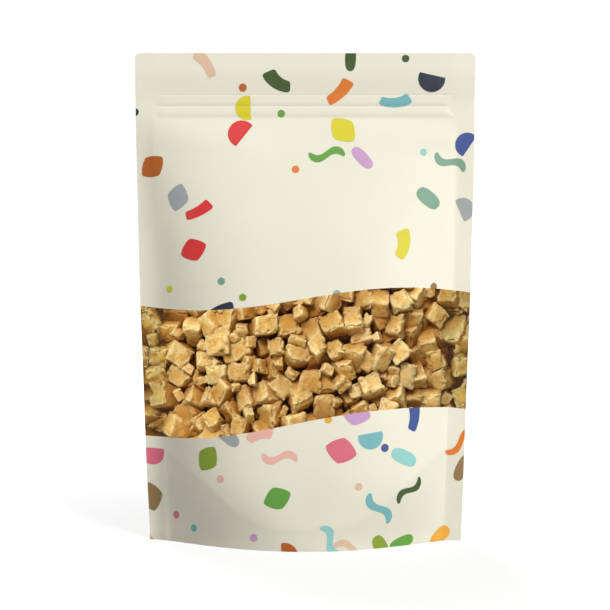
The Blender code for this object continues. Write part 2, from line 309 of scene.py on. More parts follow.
# The mass of cubes deep in the pouch, coloured dark with painted shade.
CORE_DEPTH = 21 * MM
CORE_LUMP = 3 * MM
CORE_LUMPS = ((8, 8 * MM, 1), (9, 3 * MM, 1 / 3))  # seed, size and share
CORE_MARGIN = 0.15
CORE_ROOM_SHARE = 0.75
CORE_CREASE_ROOM = 0.75
CORE_SHADES = (0.92, 0.35)  # how dark its painted shade is where the pouch is thin, and where there is room
CORE_TONE = 0.3

# The print. Pairs are the least and the most.
PRINT_PROUD = 0.09 * MM
PRINT_EDGE = 0.1 * MM
PRINT_MARGIN = 2 * MM
PRINT_WELD = 0.02 * MM
BAND_MARGIN = 1 * MM
LARGE_SPACING = 7.4 * MM
DOT_SPACING = 5.5 * MM
TRIES = 400
PANEL_HALF_WIDTH = 37 * MM  # the bare panel in the upper middle of the front
PANEL_LOW = 124 * MM
PANEL_HIGH = 174 * MM
FRONT_PRINT = (21, 44, 18)  # the seed, and how many large shapes and dots
BACK_PRINT = (22, 44, 30)
ARC_LENGTH = (11 * MM, 15 * MM)
ARC_WIDTH = (4.4 * MM, 6.2 * MM)
ARC_BEND = (0.5, 1.2)
ARC_CORNER = 0.24
ARC_TAPER = 0.3
WAVE_LENGTH = (15 * MM, 19 * MM)
WAVE_WIDTH = (3.0 * MM, 3.8 * MM)
WAVE_SWING = 2.1 * MM
PILL_STRETCH = (0.42, 0.55)
PILL_RADIUS = (6.0 * MM, 7.2 * MM)
PILL_POWER = 2.6
DIAMOND_RADIUS = (6.2 * MM, 7.4 * MM)
DIAMOND_STRETCH = 0.8
DIAMOND_POWER = 1.35
HALF_DISC_RADIUS = (5.6 * MM, 6.6 * MM)
HALF_DISC_CUT = 0.25
DOT_RADIUS = (1.6 * MM, 1.9 * MM)
INKS = (  # as seen on a screen
    (230, 125, 35),
    (45, 55, 70),
    (225, 110, 130),
    (100, 165, 60),
    (120, 185, 190),
    (222, 210, 35),
    (205, 160, 205),
    (62, 84, 150),
    (190, 100, 30),
    (225, 55, 55),
    (137, 165, 40),
    (230, 195, 165),
    (65, 90, 40),
    (242, 175, 60),
    (150, 120, 75),
    (150, 210, 205),
    (165, 170, 170),
    (242, 185, 170),
    (125, 165, 140),
)

# Finishes. Colours are linear.
WHITE = (1.0, 1.0, 1.0, 1.0)
CREAM = (0.88, 0.85, 0.70, 1.0)
CREAM_DEEP = (0.865, 0.83, 0.675, 1.0)
CREAM_BELOW_WELD = (0.955, 0.955, 0.96, 1.0)  # the cream is a little darker and cooler below the curved weld of the base
INK_WORN = (0.8, 0.8, 0.8, 1.0)
INK_WEAR = 0.03
FILM_GRAIN_SCALE = 2400.0
FILM_GRAIN_STRENGTH = 0.25
FILM_GRAIN_HEIGHT = 0.03 * MM
FILM_SMEAR_SCALE = 90.0
FILM_MOTTLE_SCALE = 45.0
INK_MOTTLE_SCALE = 90.0
FILM_ROUGHNESS = (0.46, 0.54)
FILM_GLOSS = 0.4
WINDOW_TINT = (0.98, 0.975, 0.96, 1.0)
WINDOW_ROUGHNESS = (0.22, 0.34)
WINDOW_IOR = 1.45
WINDOW_SHEEN = 0.3
CARAMEL_TONES = (
    (0.60, 0.385, 0.10, 1.0),
    (0.74, 0.525, 0.185, 1.0),
    (0.82, 0.64, 0.275, 1.0),
    (0.90, 0.77, 0.42, 1.0),
)
CARAMEL_WARM = (0.78, 0.495, 0.13, 1.0)
CARAMEL_EDGE = (0.95, 0.82, 0.47, 1.0)
CARAMEL_BROKEN = (0.88, 0.68, 0.28, 1.0)
# The dark of the crumb's own mottle, and the painted shade in the holes.
CARAMEL_DARK = (0.45, 0.21, 0.035, 1.0)
# Pale sugar specks, painted bright as small glints: a painted highlight.
CARAMEL_SPECK_GLINT = (0.98, 0.90, 0.60, 1.0)
# Painted shade: faces turned from the light, low in the heap or flattened are multiplied by this.
CARAMEL_SHADE_WARMTH = (0.95, 0.76, 0.44, 1.0)
# Painted shade: the colour of parts low in the heap or turned from the light, and the darker colour
# of the gaps between cubes.
CARAMEL_DEPTH_SHADE = (0.30, 0.10, 0.006, 1.0)
CARAMEL_GAP_SHADE = (0.06, 0.018, 0.002, 1.0)
CARAMEL_GLINT = (1.0, 0.8, 0.5, 1.0)

# The textures of caramel: the scale, detail and roughness of each noise.
BLOTCH_NOISE = (300.0, 4.0, 0.62)
CRUMB_NOISE = (850.0, 4.0, 0.6)
AMBER_NOISE = (130.0, 1.0)
CELL_SCALE = 430.0
# The low and high values of a texture or an attribute, and what they turn into.
NOISE_SPAN = (0.3, 0.7)
BLOTCH_TO_TONE = (*NOISE_SPAN, -0.45, 0.45)
CRUMB_TO_ROUGHNESS = (*NOISE_SPAN, 0.48, 0.7)
CRUMB_TO_DARK = (0.36, 0.54, 0.38, 0.0)
AMBER_TO_WARM = (0.36, 0.6, 0.15, 0.95)
CELL_TO_HOLE = (0.92, 0.94, 0.0, 1.0)
HOLE_EDGE = (0.12, 0.26, 1.0, 0.0)
CELL_TO_SPECK = (0.82, 0.84, 0.0, 0.7)
SPECK_EDGE = (0.08, 0.18, 1.0, 0.0)
DEPTH_TO_SHADE = (0.1, 0.48, 0.0, 0.97)
PAINTED_TO_SHADE = (0.0, 0.7, 0.0, 0.9)
PAINTED_TO_GAP = (0.35, 1.0, 0.0, 1.0)
WORN_SHARE = 0.75
BROKEN_SHARE = 0.5
# how strongly the holes are darkened with painted shade
HOLE_SHADE_SHARE = 0.6
CRUMB_STRENGTH = 0.8
CRUMB_HEIGHT = 0.45 * MM
CARAMEL_GLOSS = 0.22
GLOW_SHARE = 0.35
GLOW_COLOUR = (1.0, 0.45, 0.15)
GLOW_REACH = 1.8 * MM


class Light(NamedTuple):
    """A soft square light: its direction in degrees, its width, and its brightness."""

    azimuth: float
    elevation: float
    size: float
    brightness: float


# The studio.
CAMERA_LENS = 69.9
CAMERA_SENSOR = 36.0
CAMERA_DISTANCE = 0.56
CAMERA_ELEVATION = 0.5
CAMERA_TARGET_HEIGHT = 111.5 * MM
LIGHT_DISTANCE = 4.0
KEY = Light(41, 38, 1.6, 1.035)
BACK_LIGHT = Light(205, 40, 2.2, 0.8)
CUBE_KEY = Light(-20, 42, 2.0, 1.17)
WORLD_LIGHT = 0.10
SEEN_WHITE = 1.1
FLOOR_COLOUR = (0.52, 0.52, 0.52, 1.0)
FLOOR_SEEN_COLOUR = (0.3, 0.3, 0.3, 1.0)
FLOOR_GLOW = (0.1, 0.5, 0.72, SEEN_WHITE)  # near and far from the pouch, and its glow there
FLOOR_REACH = 4.0
FLOOR_DROP = 0.05 * MM


def clear_scene():
    for scene_object in list(bpy.data.objects):
        bpy.data.objects.remove(scene_object, do_unlink=True)


# Smooth noise in three dimensions, for relief.


class Noise:
    """Random values on a cubic lattice, blended smoothly. The result runs from -1 to 1."""

    SIZE = 32

    def __init__(self, seed):
        self.lattice = np.random.default_rng(seed).uniform(-1, 1, (self.SIZE,) * 3)

    def __call__(self, points):
        cell = np.floor(points).astype(int)
        part = points - cell
        part = part * part * part * (part * (part * 6 - 15) + 10)
        total = 0.0
        for corner in np.ndindex(2, 2, 2):
            index = (cell + corner) % self.SIZE
            weight = np.prod(np.where(corner, part, 1 - part), axis=-1)
            total = total + weight * self.lattice[tuple(np.moveaxis(index, -1, 0))]
        return total


film_noise = Noise(FILM_SEED)


# The form of the film: functions of arrays of x and z.


def smooth_step(low, high, value):
    t = np.clip((value - low) / (high - low), 0, 1)
    return t * t * (3 - 2 * t)


def half_width(z):
    drawn = np.maximum(0.0, DRAW_START - z) / DRAW_START
    return FLAT_HALF_WIDTH - DRAWN_IN * drawn**DRAW_POWER


def body_half_width(z):
    return half_width(z) - SEAL_WIDTH


def cut_half_width(z):
    """Half the width, with the rounding of the top corners."""
    rise = np.clip(z - (HEIGHT - TOP_CORNER_RADIUS), 0, TOP_CORNER_RADIUS)
    return half_width(z) - TOP_CORNER_RADIUS + np.sqrt(TOP_CORNER_RADIUS**2 - rise**2)


def centre_half_depth(z):
    height = np.minimum(1, z / BULGE_TOP)
    belly = BELLY_HALF_DEPTH * np.exp(-(((z - BELLY_HEIGHT) / BELLY_SPREAD) ** 2))
    return FLOOR_HALF_DEPTH * (1 - height**2) + belly * (1 - height)


def zip_proud(z):
    ribs_up = (z - BULGE_TOP) / ZIP_RIB_HEIGHT
    from_middle = 2 * (ribs_up % 1) - 1
    on_zip = (ribs_up > 0) & (ribs_up < ZIP_RIBS)
    rib = ZIP_RIB_PROUD * (1 - from_middle**2) * (1 - ZIP_RIB_TILT * from_middle)
    nearest = np.clip(np.round(ribs_up), 1, ZIP_RIBS)
    from_groove = (ribs_up - nearest) * ZIP_RIB_HEIGHT / ZIP_GROOVE_REACH
    return np.where(on_zip, rib, 0.0) - ZIP_GROOVE_DEPTH * np.exp(-(from_groove**2))


def fullness(z):
    """How flat the middle of the cross-section is, and how steep its sides."""
    full = FULLNESS[0]
    for (less, more), span in zip(itertools.pairwise(FULLNESS), FULLNESS_SPANS):
        full = full + (more - less) * smooth_step(*span, z)
    return full


def cross_section(x, z):
    """The bulge's share of its centre depth, from 1 at the centre line to 0 at the side seals."""
    across = np.minimum(1.0, np.abs(x) / body_half_width(z))
    narrowing = FLOOR_NARROWING * (1 - smooth_step(0.0, BODY_START, z))
    return (1 - across ** fullness(z)) ** (1 + narrowing)


def weld_height(x):
    turn = WELD_TURN * np.maximum(0.0, np.abs(x) - WELD_FLAT_HALF_WIDTH)
    return WELD_MIDDLE_HEIGHT + WELD_RISE * np.sin(turn) ** 2


def relief(x, z, side):
    """What the welds, dents and the crushed spot add to the film's depth."""
    inside = body_half_width(z) - np.abs(x)
    calm = smooth_step(0, DENT_FADE, inside) * smooth_step(0, DENT_FADE, z)
    calm = calm * smooth_step(0, DENT_FADE, BULGE_TOP - z)
    place = np.stack([x, np.full_like(x, side * DENT_SHIFT), z], axis=-1)
    dents = BROAD_DENT * film_noise(place / BROAD_DENT_SIZE)
    dents = dents + FINE_DENT * film_noise(place / FINE_DENT_SIZE + FINE_DENT_SHIFT)
    weld = weld_height(x) - z
    step = -WELD_STEP * smooth_step(-WELD_BLEND, WELD_BLEND, weld)
    ridge = WELD_RIDGE * np.exp(-((weld / WELD_BLEND) ** 2))
    crush = np.exp(-(((x - CRUSH_X) ** 2 + (z - CRUSH_Z) ** 2) / CRUSH_RADIUS**2))
    crush = np.where(side == FRONT, CRUSH_DEPTH * crush, 0.0)
    in_body = smooth_step(0, CREASE_SOFTNESS, inside)
    return calm * dents + in_body * (step + ridge) - crush * smooth_step(-CRUSH_FADE, 0, inside)


def film_depth(x, z, side):
    """How far one face stands out from the middle of the seals."""
    inside = smooth_step(0, ZIP_END_TAPER, body_half_width(z) - np.abs(x))
    bulge = centre_half_depth(z) * cross_section(x, z)
    depth = SEAL_HALF_THICKNESS + bulge + zip_proud(z) * inside + relief(x, z, side)
    return np.maximum(SEAL_HALF_THICKNESS - ZIP_GROOVE_DEPTH, depth)


def room_inside(x, z):
    return film_depth(x, z, FRONT) + film_depth(x, z, BACK)


def film_lean(x, z):
    """How far both faces lean together: the top seal forward, the side seals back in ripples."""
    top = -TOP_LEAN * smooth_step(*TOP_LEAN_SPAN, z)
    outwards = np.abs(x) - body_half_width(z)
    beyond = smooth_step(-CREASE_SOFTNESS, SEAL_WIDTH, outwards)
    left, right = SEAL_RIPPLE_PHASES
    phase = 2 * math.pi * z / SEAL_RIPPLE_LENGTH + np.where(x > 0, right, left)
    ripple = SEAL_RIPPLE * beyond * np.sin(phase) * smooth_step(0, SEAL_RIPPLE_FADE, z)
    right_turn = RIGHT_SEAL_SLOPE * np.maximum(0, outwards)
    turn = np.where(x > 0, right_turn, left_seal_turn(outwards, z))
    return top + ripple + turn * smooth_step(*SEAL_TURN_SPAN, z)


def left_seal_turn(outwards, z):
    """The left seal and the body beside it turn back in one soft curve."""
    low, high = LEFT_SEAL_SLOPES
    steep = low + (high - low) * smooth_step(*LEFT_SEAL_HEIGHTS, z)
    beyond = np.maximum(0, outwards)
    bent = steep * beyond - (steep - LEFT_SEAL_EDGE_SLOPE) * beyond**2 / (2 * SEAL_WIDTH)
    bulge_slope = centre_half_depth(z) * fullness(z) / body_half_width(z)
    eased = np.maximum(0, bulge_slope - steep) * smooth_step(0, BODY_START, z)
    inwards = np.clip(-outwards / LEFT_BLEND, 0, 1)
    return bent - eased * LEFT_BLEND / 3 * (1 - inwards) ** 3


def film_y(x, z, side):
    return film_lean(x, z) + side * film_depth(x, z, side)


def film_points(x, z, side, inwards=0.0):
    """Points on one face of the film, or the given distance under it."""
    x, z, inwards = np.broadcast_arrays(np.asarray(x, float), z, inwards)
    points = np.stack([x, film_y(x, z, side), z], axis=-1)
    if not np.any(inwards):
        return points
    return points - film_normals(x, z, side) * inwards[..., None]


def film_normals(x, z, side):
    """Outward normals, from the slopes over a short distance."""
    reach = NORMAL_REACH
    slope_x = (film_y(x + reach, z, side) - film_y(x - reach, z, side)) / (2 * reach)
    slope_z = (film_y(x, z + reach, side) - film_y(x, z - reach, side)) / (2 * reach)
    normals = np.stack([-slope_x, np.ones_like(slope_x), -slope_z], axis=-1) * side
    return normals / np.linalg.norm(normals, axis=-1, keepdims=True)


# The girth: how far round the front a point lies from the centre line, measured on the film.


class Girth:
    """Turns a distance measured on the film across the front into x, at any height."""

    def __init__(self):
        rows = int(HEIGHT / GIRTH_STEP) + 2
        shares = np.linspace(0, 1, GIRTH_SAMPLES)
        self.table = np.zeros((rows, GIRTH_SAMPLES))
        self.totals = np.zeros(rows)
        for row in range(rows):
            z = np.full(GIRTH_SAMPLES, min(HEIGHT, row * GIRTH_STEP))
            x = half_width(z) * np.sin(shares * math.pi / 2)
            depth = centre_half_depth(z) * cross_section(x, z)
            steps_round = np.hypot(np.diff(x), np.diff(depth))
            lengths = np.concatenate([[0.0], np.cumsum(steps_round)])
            self.totals[row] = lengths[-1]
            self.table[row] = np.interp(shares * lengths[-1], lengths, x)

    def half_total(self, z):
        return np.interp(z, np.arange(len(self.totals)) * GIRTH_STEP, self.totals)

    def x_at(self, around, z):
        last = 1.001  # a little more than one step short of the table's end
        row = np.clip(z / GIRTH_STEP, 0, len(self.totals) - last)
        low = row.astype(int)
        part = row - low
        total = self.totals[low] * (1 - part) + self.totals[low + 1] * part
        column = np.clip(np.abs(around) / total, 0, 1) * (GIRTH_SAMPLES - last)
        left = column.astype(int)
        across = column - left
        found = 0.0
        for up, row_share in ((0, 1 - part), (1, part)):
            for along, column_share in ((0, 1 - across), (1, across)):
                found = found + row_share * column_share * self.table[low + up, left + along]
        return np.sign(around) * found


# Meshes from arrays.


def mesh_object(name, points, faces, smooth=True):
    """A new mesh object from an array of points and a list of face index arrays."""
    mesh = bpy.data.meshes.new(name)
    corners = np.concatenate([np.asarray(f, np.int32).ravel() for f in faces])
    sizes = np.concatenate([np.full(len(f), np.asarray(f).shape[1], np.int32) for f in faces])
    mesh.vertices.add(len(points))
    mesh.vertices.foreach_set("co", np.asarray(points, np.float32).ravel())
    mesh.loops.add(len(corners))
    mesh.loops.foreach_set("vertex_index", corners)
    mesh.polygons.add(len(sizes))
    starts = np.concatenate([[0], np.cumsum(sizes)[:-1]]).astype(np.int32)
    mesh.polygons.foreach_set("loop_start", starts)
    mesh.update(calc_edges=True)
    mesh.validate()
    mesh.polygons.foreach_set("use_smooth", np.full(len(mesh.polygons), smooth))
    made = bpy.data.objects.new(name, mesh)
    bpy.context.scene.collection.objects.link(made)
    return made


def joined_object(name, parts):
    """One mesh object from many parts, each a pair of points and faces."""
    starts = np.cumsum([0] + [len(points) for points, _ in parts])
    faces = [quads + start for (_, quads), start in zip(parts, starts)]
    return mesh_object(name, np.concatenate([points for points, _ in parts]), faces)


def add_attribute(target, name, kind, values):
    """Stores a value, a vector or a colour for each point."""
    field = {"FLOAT": "value", "FLOAT_VECTOR": "vector", "FLOAT_COLOR": "color"}[kind]
    added = target.data.attributes.new(name, kind, "POINT")
    added.data.foreach_set(field, values.astype(np.float32).ravel())


def grid_faces(rows, columns, first=0, flip=False):
    """Quads between the points of a grid that is stored row by row."""
    index = first + np.arange(rows * columns).reshape(rows, columns)
    quads = np.stack(
        [index[:-1, :-1], index[:-1, 1:], index[1:, 1:], index[1:, :-1]], axis=-1
    ).reshape(-1, 4)
    return quads[:, ::-1] if flip else quads


def strip(first, second):
    """Quads between two lines of points."""
    return np.stack([first[:-1], first[1:], second[1:], second[:-1]], axis=-1)


@contextmanager
def edited(target):
    """An object's mesh, opened for bmesh operations and written back after them."""
    body = bmesh.new()
    body.from_mesh(target.data)
    yield body
    body.to_mesh(target.data)
    body.free()


def weld(target, distance=WELD_DISTANCE):
    """Joins the points that lie together and drops faces that have no area."""
    with edited(target) as body:
        bmesh.ops.remove_doubles(body, verts=body.verts, dist=distance)
        bmesh.ops.dissolve_degenerate(body, dist=distance, edges=body.edges)


# The film's grid. A row number runs 0-1 under the band, 1-2 over it, 2-3 above it and 3-4 over
# the zip and the top seal. A column number runs -1 to 1 between the seals and to 2 at the edges.


def steps(start, end, count):
    """Even steps from start, which is left out, to end."""
    return np.linspace(start, end, count + 1)[1:]


def row_numbers():
    ribs_top = BULGE_TOP + ZIP_RIBS * ZIP_RIB_HEIGHT
    groove_top = ribs_top + ZIP_GROOVE_SPAN
    corner = HEIGHT - TOP_CORNER_RADIUS
    heights = [
        steps(STRAIGHT_START, BULGE_TOP, STRAIGHT_ROWS),
        steps(BULGE_TOP, ribs_top, ZIP_RIBS * ZIP_RIB_ROWS),
        steps(ribs_top, groove_top, ZIP_GROOVE_ROWS),
        steps(groove_top, corner, TOP_ROWS),
        corner + TOP_CORNER_RADIUS * np.sin(steps(0, math.pi / 2, CORNER_ROWS)),
    ]
    top = 3 + (np.concatenate(heights) - STRAIGHT_START) / (HEIGHT - STRAIGHT_START)
    lower = np.linspace(0, 1, LOWER_ROWS + 1)
    return np.concatenate([lower, steps(1, 2, BAND_ROWS), steps(2, 3, UPPER_ROWS), top])


def rows_between(low, high):
    """True for the rows of the grid whose numbers lie from low to high."""
    numbers = row_numbers()
    return (numbers >= low - TINY) & (numbers <= high + TINY)


def column_numbers():
    body = np.linspace(-1, 1, BODY_COLUMNS + 1)
    seal = steps(1, 2, SEAL_COLUMNS)
    return np.concatenate([-seal[::-1], body, seal])


def row_height(row, x):
    low = LOWER_EDGE.at(x)
    high = UPPER_EDGE.at(x)
    zones = [
        row * low,
        low + (row - 1) * (high - low),
        high + (row - 2) * (STRAIGHT_START - high),
    ]
    top = STRAIGHT_START + (row - 3) * (HEIGHT - STRAIGHT_START)
    return np.select([row <= 1, row <= 2, row <= 3], zones, top)


def column_x(column, z):
    within = np.clip(column, -1, 1)
    beyond = np.maximum(0, np.abs(column) - 1)
    inner = body_half_width(z)
    edge = cut_half_width(z)
    return inner * np.sin(within * math.pi / 2) + np.sign(column) * beyond * (edge - inner)


def film_grid():
    """x and z of every point of the film's grid."""
    rows, columns = np.meshgrid(row_numbers(), column_numbers(), indexing="ij")
    z = np.full(rows.shape, GRID_START)
    for _ in range(GRID_ROUNDS):
        x = column_x(columns, z)
        z = row_height(rows, x)
    return x, z


def skirt_points(x):
    """The underside, column by column: the skirt's edge, the groove behind it and the flat pad."""
    shares = np.linspace(0, 1, SKIRT_ROWS + 1)
    depth = film_depth(x, np.zeros_like(x), FRONT)[:, None]
    narrow = np.minimum(1.0, depth / NARROW_DEPTH)
    ahead = (depth - SKIRT_THICKNESS * narrow) * (1 - shares)
    across = np.abs(x)[:, None] / body_half_width(0.0)
    corner = np.clip((across - PAD_WIDTH_SHARE) / (1 - PAD_WIDTH_SHARE), 0, 1)
    lift = CORNER_LIFT * np.sin(math.pi * corner) * smooth_step(0, CORNER_LIFT_SHARE, shares)
    groove = np.sin(math.pi * np.clip(shares / GROOVE_SHARE, 0, 1)) ** GROOVE_POWER
    height = GROOVE_HEIGHT * narrow * groove + lift
    front = np.stack([np.broadcast_to(x[:, None], height.shape), -ahead, height], axis=-1)
    back = front[:, ::-1] * np.array([1, -1, 1])
    return np.concatenate([front, back[:, 1:]], axis=1)


def make_film(x, z):
    """The printed film, all round: both faces, the seals' edges and the underside."""
    rows, columns = x.shape
    count = rows * columns
    index = np.arange(count).reshape(rows, columns)
    on_band = rows_between(1, 2)
    band = on_band[:-1] & on_band[1:]
    front_faces = grid_faces(rows, columns).reshape(rows - 1, columns - 1, 4)[~band]
    faces = [front_faces.reshape(-1, 4), grid_faces(rows, columns, count, flip=True)]
    first_seal = index[0, SEAL_COLUMNS::-1]
    last_seal = index[0, : -SEAL_COLUMNS - 2 : -1]
    for line in (index[:, 0], index[::-1, -1], index[-1], first_seal, last_seal):
        faces.append(strip(line, line + count))
    between_seals = slice(SEAL_COLUMNS, columns - SEAL_COLUMNS)
    under = skirt_points(x[0, between_seals])
    faces.append(grid_faces(*under.shape[:2], 2 * count, flip=True))
    rims = 2 * count + np.arange(under.shape[0] * under.shape[1]).reshape(under.shape[:2])
    faces.append(strip(index[0, between_seals], rims[:, 0]))
    faces.append(strip(index[0, between_seals] + count, rims[:, -1]))
    parts = [film_points(x, z, FRONT), film_points(x, z, BACK), under]
    points = np.concatenate([part.reshape(-1, 3) for part in parts])
    film = mesh_object("printed_film", points, faces)
    weld(film)
    with edited(film) as body:
        bmesh.ops.recalc_face_normals(body, faces=body.faces)
    film.data.set_sharp_from_angle(angle=SHARP_EDGE)
    points = np.zeros(len(film.data.vertices) * 3, np.float32)
    film.data.vertices.foreach_get("co", points)
    x, _, z = points.reshape(-1, 3).T
    below = smooth_step(-WELD_BLEND, WELD_BLEND, weld_height(x) - z)
    add_attribute(film, "below_weld", "FLOAT", below)
    return film


def make_window(x, z):
    rows = rows_between(1, 2)
    points = film_points(x[rows], z[rows], FRONT)
    return mesh_object("clear_window", points.reshape(-1, 3), [grid_faces(*points.shape[:2])])


# The cubes: sizes, settling, and which of them can be seen.


def bed_places(draw):
    """Places for the lowest cubes: an even grid over the tray, each moved a little."""
    halves = (TRAY_HALF_WIDTH, TRAY_HALF_HEIGHT)
    counts = [int(2 * half / BED_PITCH) for half in halves]
    x, y = np.meshgrid(*((np.arange(count) + 0.5) / count * 2 - 1 for count in counts))
    places = np.stack([x.ravel() * halves[0], y.ravel() * halves[1], np.zeros(x.size)], axis=1)
    return places + draw.uniform(-BED_JITTER, BED_JITTER, places.shape)


def block_sizes(count, draw):
    sizes = draw.uniform(CUBE_LEAST, CUBE_MOST, (count, 3))
    kind = draw.uniform(0, 1, count)
    sizes[kind < LONG_SHARE, 0] *= LONG_STRETCH
    sizes[kind > 1 - SMALL_SHARE] *= SMALL_SHRINK
    return sizes


def add_box(name, size, place, kind, turn=(0, 0, 0)):
    """A box that takes part in the simulation, fixed (PASSIVE) or loose (ACTIVE)."""
    signs = np.array(list(itertools.product((-1, 1), repeat=3)))
    quads = np.array(
        [(0, 1, 3, 2), (4, 6, 7, 5), (0, 4, 5, 1), (2, 3, 7, 6), (0, 2, 6, 4), (1, 5, 7, 3)]
    )
    box = mesh_object(name, signs * (np.array(size) / 2), [quads], smooth=False)
    box.location = place
    box.rotation_euler = turn
    with bpy.context.temp_override(object=box, active_object=box, selected_objects=[box]):
        bpy.ops.rigidbody.object_add(type=kind)
    box.rigid_body.collision_shape = "BOX"
    box.rigid_body.friction = FRICTION
    box.rigid_body.restitution = 0.0
    box.rigid_body.use_margin = True
    box.rigid_body.collision_margin = COLLISION_MARGIN
    return box


def tray_boxes():
    """The tray's floor and four walls, at the simulation's size, with its floor at height 0."""
    wide = TRAY_HALF_WIDTH * SIM_SCALE
    high = TRAY_HALF_HEIGHT * SIM_SCALE
    wall = TRAY_WALL * SIM_SCALE
    layout = [((4 * wide, 4 * high, 2 * wall), (0, 0, -wall))]
    for side in (-1, 1):
        across = side * (wide + wall)
        along = side * (high + wall)
        layout.append(((2 * wall, 4 * high, TRAY_TALL), (across, 0, TRAY_TALL / 2)))
        layout.append(((4 * wide, 2 * wall, TRAY_TALL), (0, along, TRAY_TALL / 2)))
    return [add_box("tray", size, place, "PASSIVE") for size, place in layout]


def drop_place(number, draw):
    """Where a loose block starts: layers of rows and columns over the tray, each moved a little."""
    layer, slot = divmod(number, DROP_COLUMNS * DROP_ROWS)
    row, column = divmod(slot, DROP_COLUMNS)
    place = []
    spots = ((column, DROP_COLUMNS, TRAY_HALF_WIDTH), (row, DROP_ROWS, TRAY_HALF_HEIGHT))
    for (at, count, half), jitter in zip(spots, DROP_JITTERS):
        moved = at - (count - 1) / 2 + draw.uniform(-jitter, jitter)
        place.append(moved * (2 * half * SIM_SCALE / count))
    return (*place, DROP_HEIGHT + layer * DROP_PITCH)


def shaken_gravity(frame):
    """Down, and swung round from side to side until the heap is level."""
    turn = SHAKE_TURN * frame
    swing = SHAKE * max(0.0, 1 - frame / SHAKE_FRAMES)
    return (swing * math.cos(turn), swing * math.sin(SHAKE_CROSS * turn), -SETTLE_GRAVITY)


def settle(bed, sizes, draw):
    """Drops the loose blocks on the bed of fixed ones. Returns the centres and rotations of all of
    them, in metres. The first sizes are those of the bed."""
    scene = bpy.context.scene
    bpy.ops.rigidbody.world_add()
    world = scene.rigidbody_world
    world.substeps_per_frame = SETTLE_SUBSTEPS
    world.solver_iterations = SETTLE_ITERATIONS
    world.point_cache.frame_end = SETTLE_FRAMES
    tray = tray_boxes()
    blocks = []
    for place, size in zip(bed, sizes):
        turn = draw.uniform((-BED_TILT, -BED_TILT, 0), (BED_TILT, BED_TILT, math.pi))
        blocks.append(add_box("block", size * SIM_SCALE, place * SIM_SCALE, "PASSIVE", turn))
    for number, size in enumerate(sizes[len(bed) :]):
        place = drop_place(number, draw)
        turn = draw.uniform(0, 2 * math.pi, 3)
        blocks.append(add_box("block", size * SIM_SCALE, place, "ACTIVE", turn))
    for frame in range(1, SETTLE_FRAMES + 1):
        scene.gravity = shaken_gravity(frame)
        scene.frame_set(frame)
    graph = bpy.context.evaluated_depsgraph_get()
    poses = np.array([np.array(block.evaluated_get(graph).matrix_world) for block in blocks])
    bpy.ops.rigidbody.world_remove()
    scene.frame_set(1)
    for box in blocks + tray:
        mesh = box.data
        bpy.data.objects.remove(box, do_unlink=True)
        bpy.data.meshes.remove(mesh)
    turns = poses[:, :3, :3] / np.linalg.norm(poses[:, :3, :3], axis=1, keepdims=True)
    return poses[:, :3, 3] / SIM_SCALE, turns


class Topside:
    """The heap seen from straight above: the highest cube and its height over each grid point."""

    def __init__(self, sizes, centres, turns):
        self.xs = np.arange(-TRAY_HALF_WIDTH, TRAY_HALF_WIDTH, SIGHT_STEP)
        self.ys = np.arange(-TRAY_HALF_HEIGHT, TRAY_HALF_HEIGHT, SIGHT_STEP)
        self.tops = np.zeros((len(self.xs), len(self.ys)))
        self.owner = np.full(self.tops.shape, -1)
        for number, (size, centre, turn) in enumerate(zip(sizes, centres, turns)):
            self.add(number, size, centre, turn)

    def add(self, number, size, centre, turn):
        reach = np.linalg.norm(size) / 2
        near_x = slice(*np.searchsorted(self.xs, (centre[0] - reach, centre[0] + reach)))
        near_y = slice(*np.searchsorted(self.ys, (centre[1] - reach, centre[1] + reach)))
        x, y = np.meshgrid(self.xs[near_x], self.ys[near_y], indexing="ij")
        if not x.size:
            return
        start = (np.stack([x, y, np.zeros_like(x)], axis=-1) - centre) @ turn
        ray = np.where(np.abs(turn[2]) < TINY, TINY, turn[2])
        first = (-size / 2 - start) / ray
        second = (size / 2 - start) / ray
        leave = np.maximum(first, second).min(axis=-1)
        enter = np.minimum(first, second).max(axis=-1)
        tops = self.tops[near_x, near_y]
        seen = (enter < leave) & (leave > tops)
        tops[seen] = leave[seen]
        self.owner[near_x, near_y][seen] = number


def level(centres, topside):
    """Moves each cube down by as much as the heap round it stands above its average height."""
    x, y = np.meshgrid(topside.xs, topside.ys, indexing="ij")
    levelled = centres.copy()
    for number, centre in enumerate(centres):
        near = np.hypot(x - centre[0], y - centre[1]) < LEVEL_RADIUS
        levelled[number, 2] -= topside.tops[near].mean() - topside.tops.mean()
    return levelled


def running_mean(values, reach):
    """Means over squares of reach by reach points."""
    for axis in (0, 1):
        sums = np.cumsum(values, axis=axis)
        first = np.take(sums, range(values.shape[axis] - reach), axis=axis)
        last = np.take(sums, range(reach, values.shape[axis]), axis=axis)
        values = (last - first) / reach
    return values


def fill_hollows(filling, film_height, heap, topside, draw):
    """Adds pieces where the levelled heap still has hollows, the deepest first."""
    reach = round(filling.hollow / SIGHT_STEP)
    for _ in range(filling.most):
        spread = running_mean(running_mean(topside.tops, reach), reach)
        lowest = np.unravel_index(np.argmin(spread), spread.shape)
        if spread[lowest] > film_height - filling.depth:
            break
        column, row = np.array(lowest) + reach
        size = draw.uniform(*filling.edge, 3)
        turn = np.array(Euler(draw.uniform(0, 2 * math.pi, 3)).to_matrix())
        sunk = film_height - draw.uniform(*filling.sunk)
        piece = (size, np.array([topside.xs[column], topside.ys[row], sunk]), turn)
        topside.add(len(heap[0]), *piece)
        heap = [np.concatenate([of_all, [of_piece]]) for of_all, of_piece in zip(heap, piece)]
    return heap


# The shape of one cube.


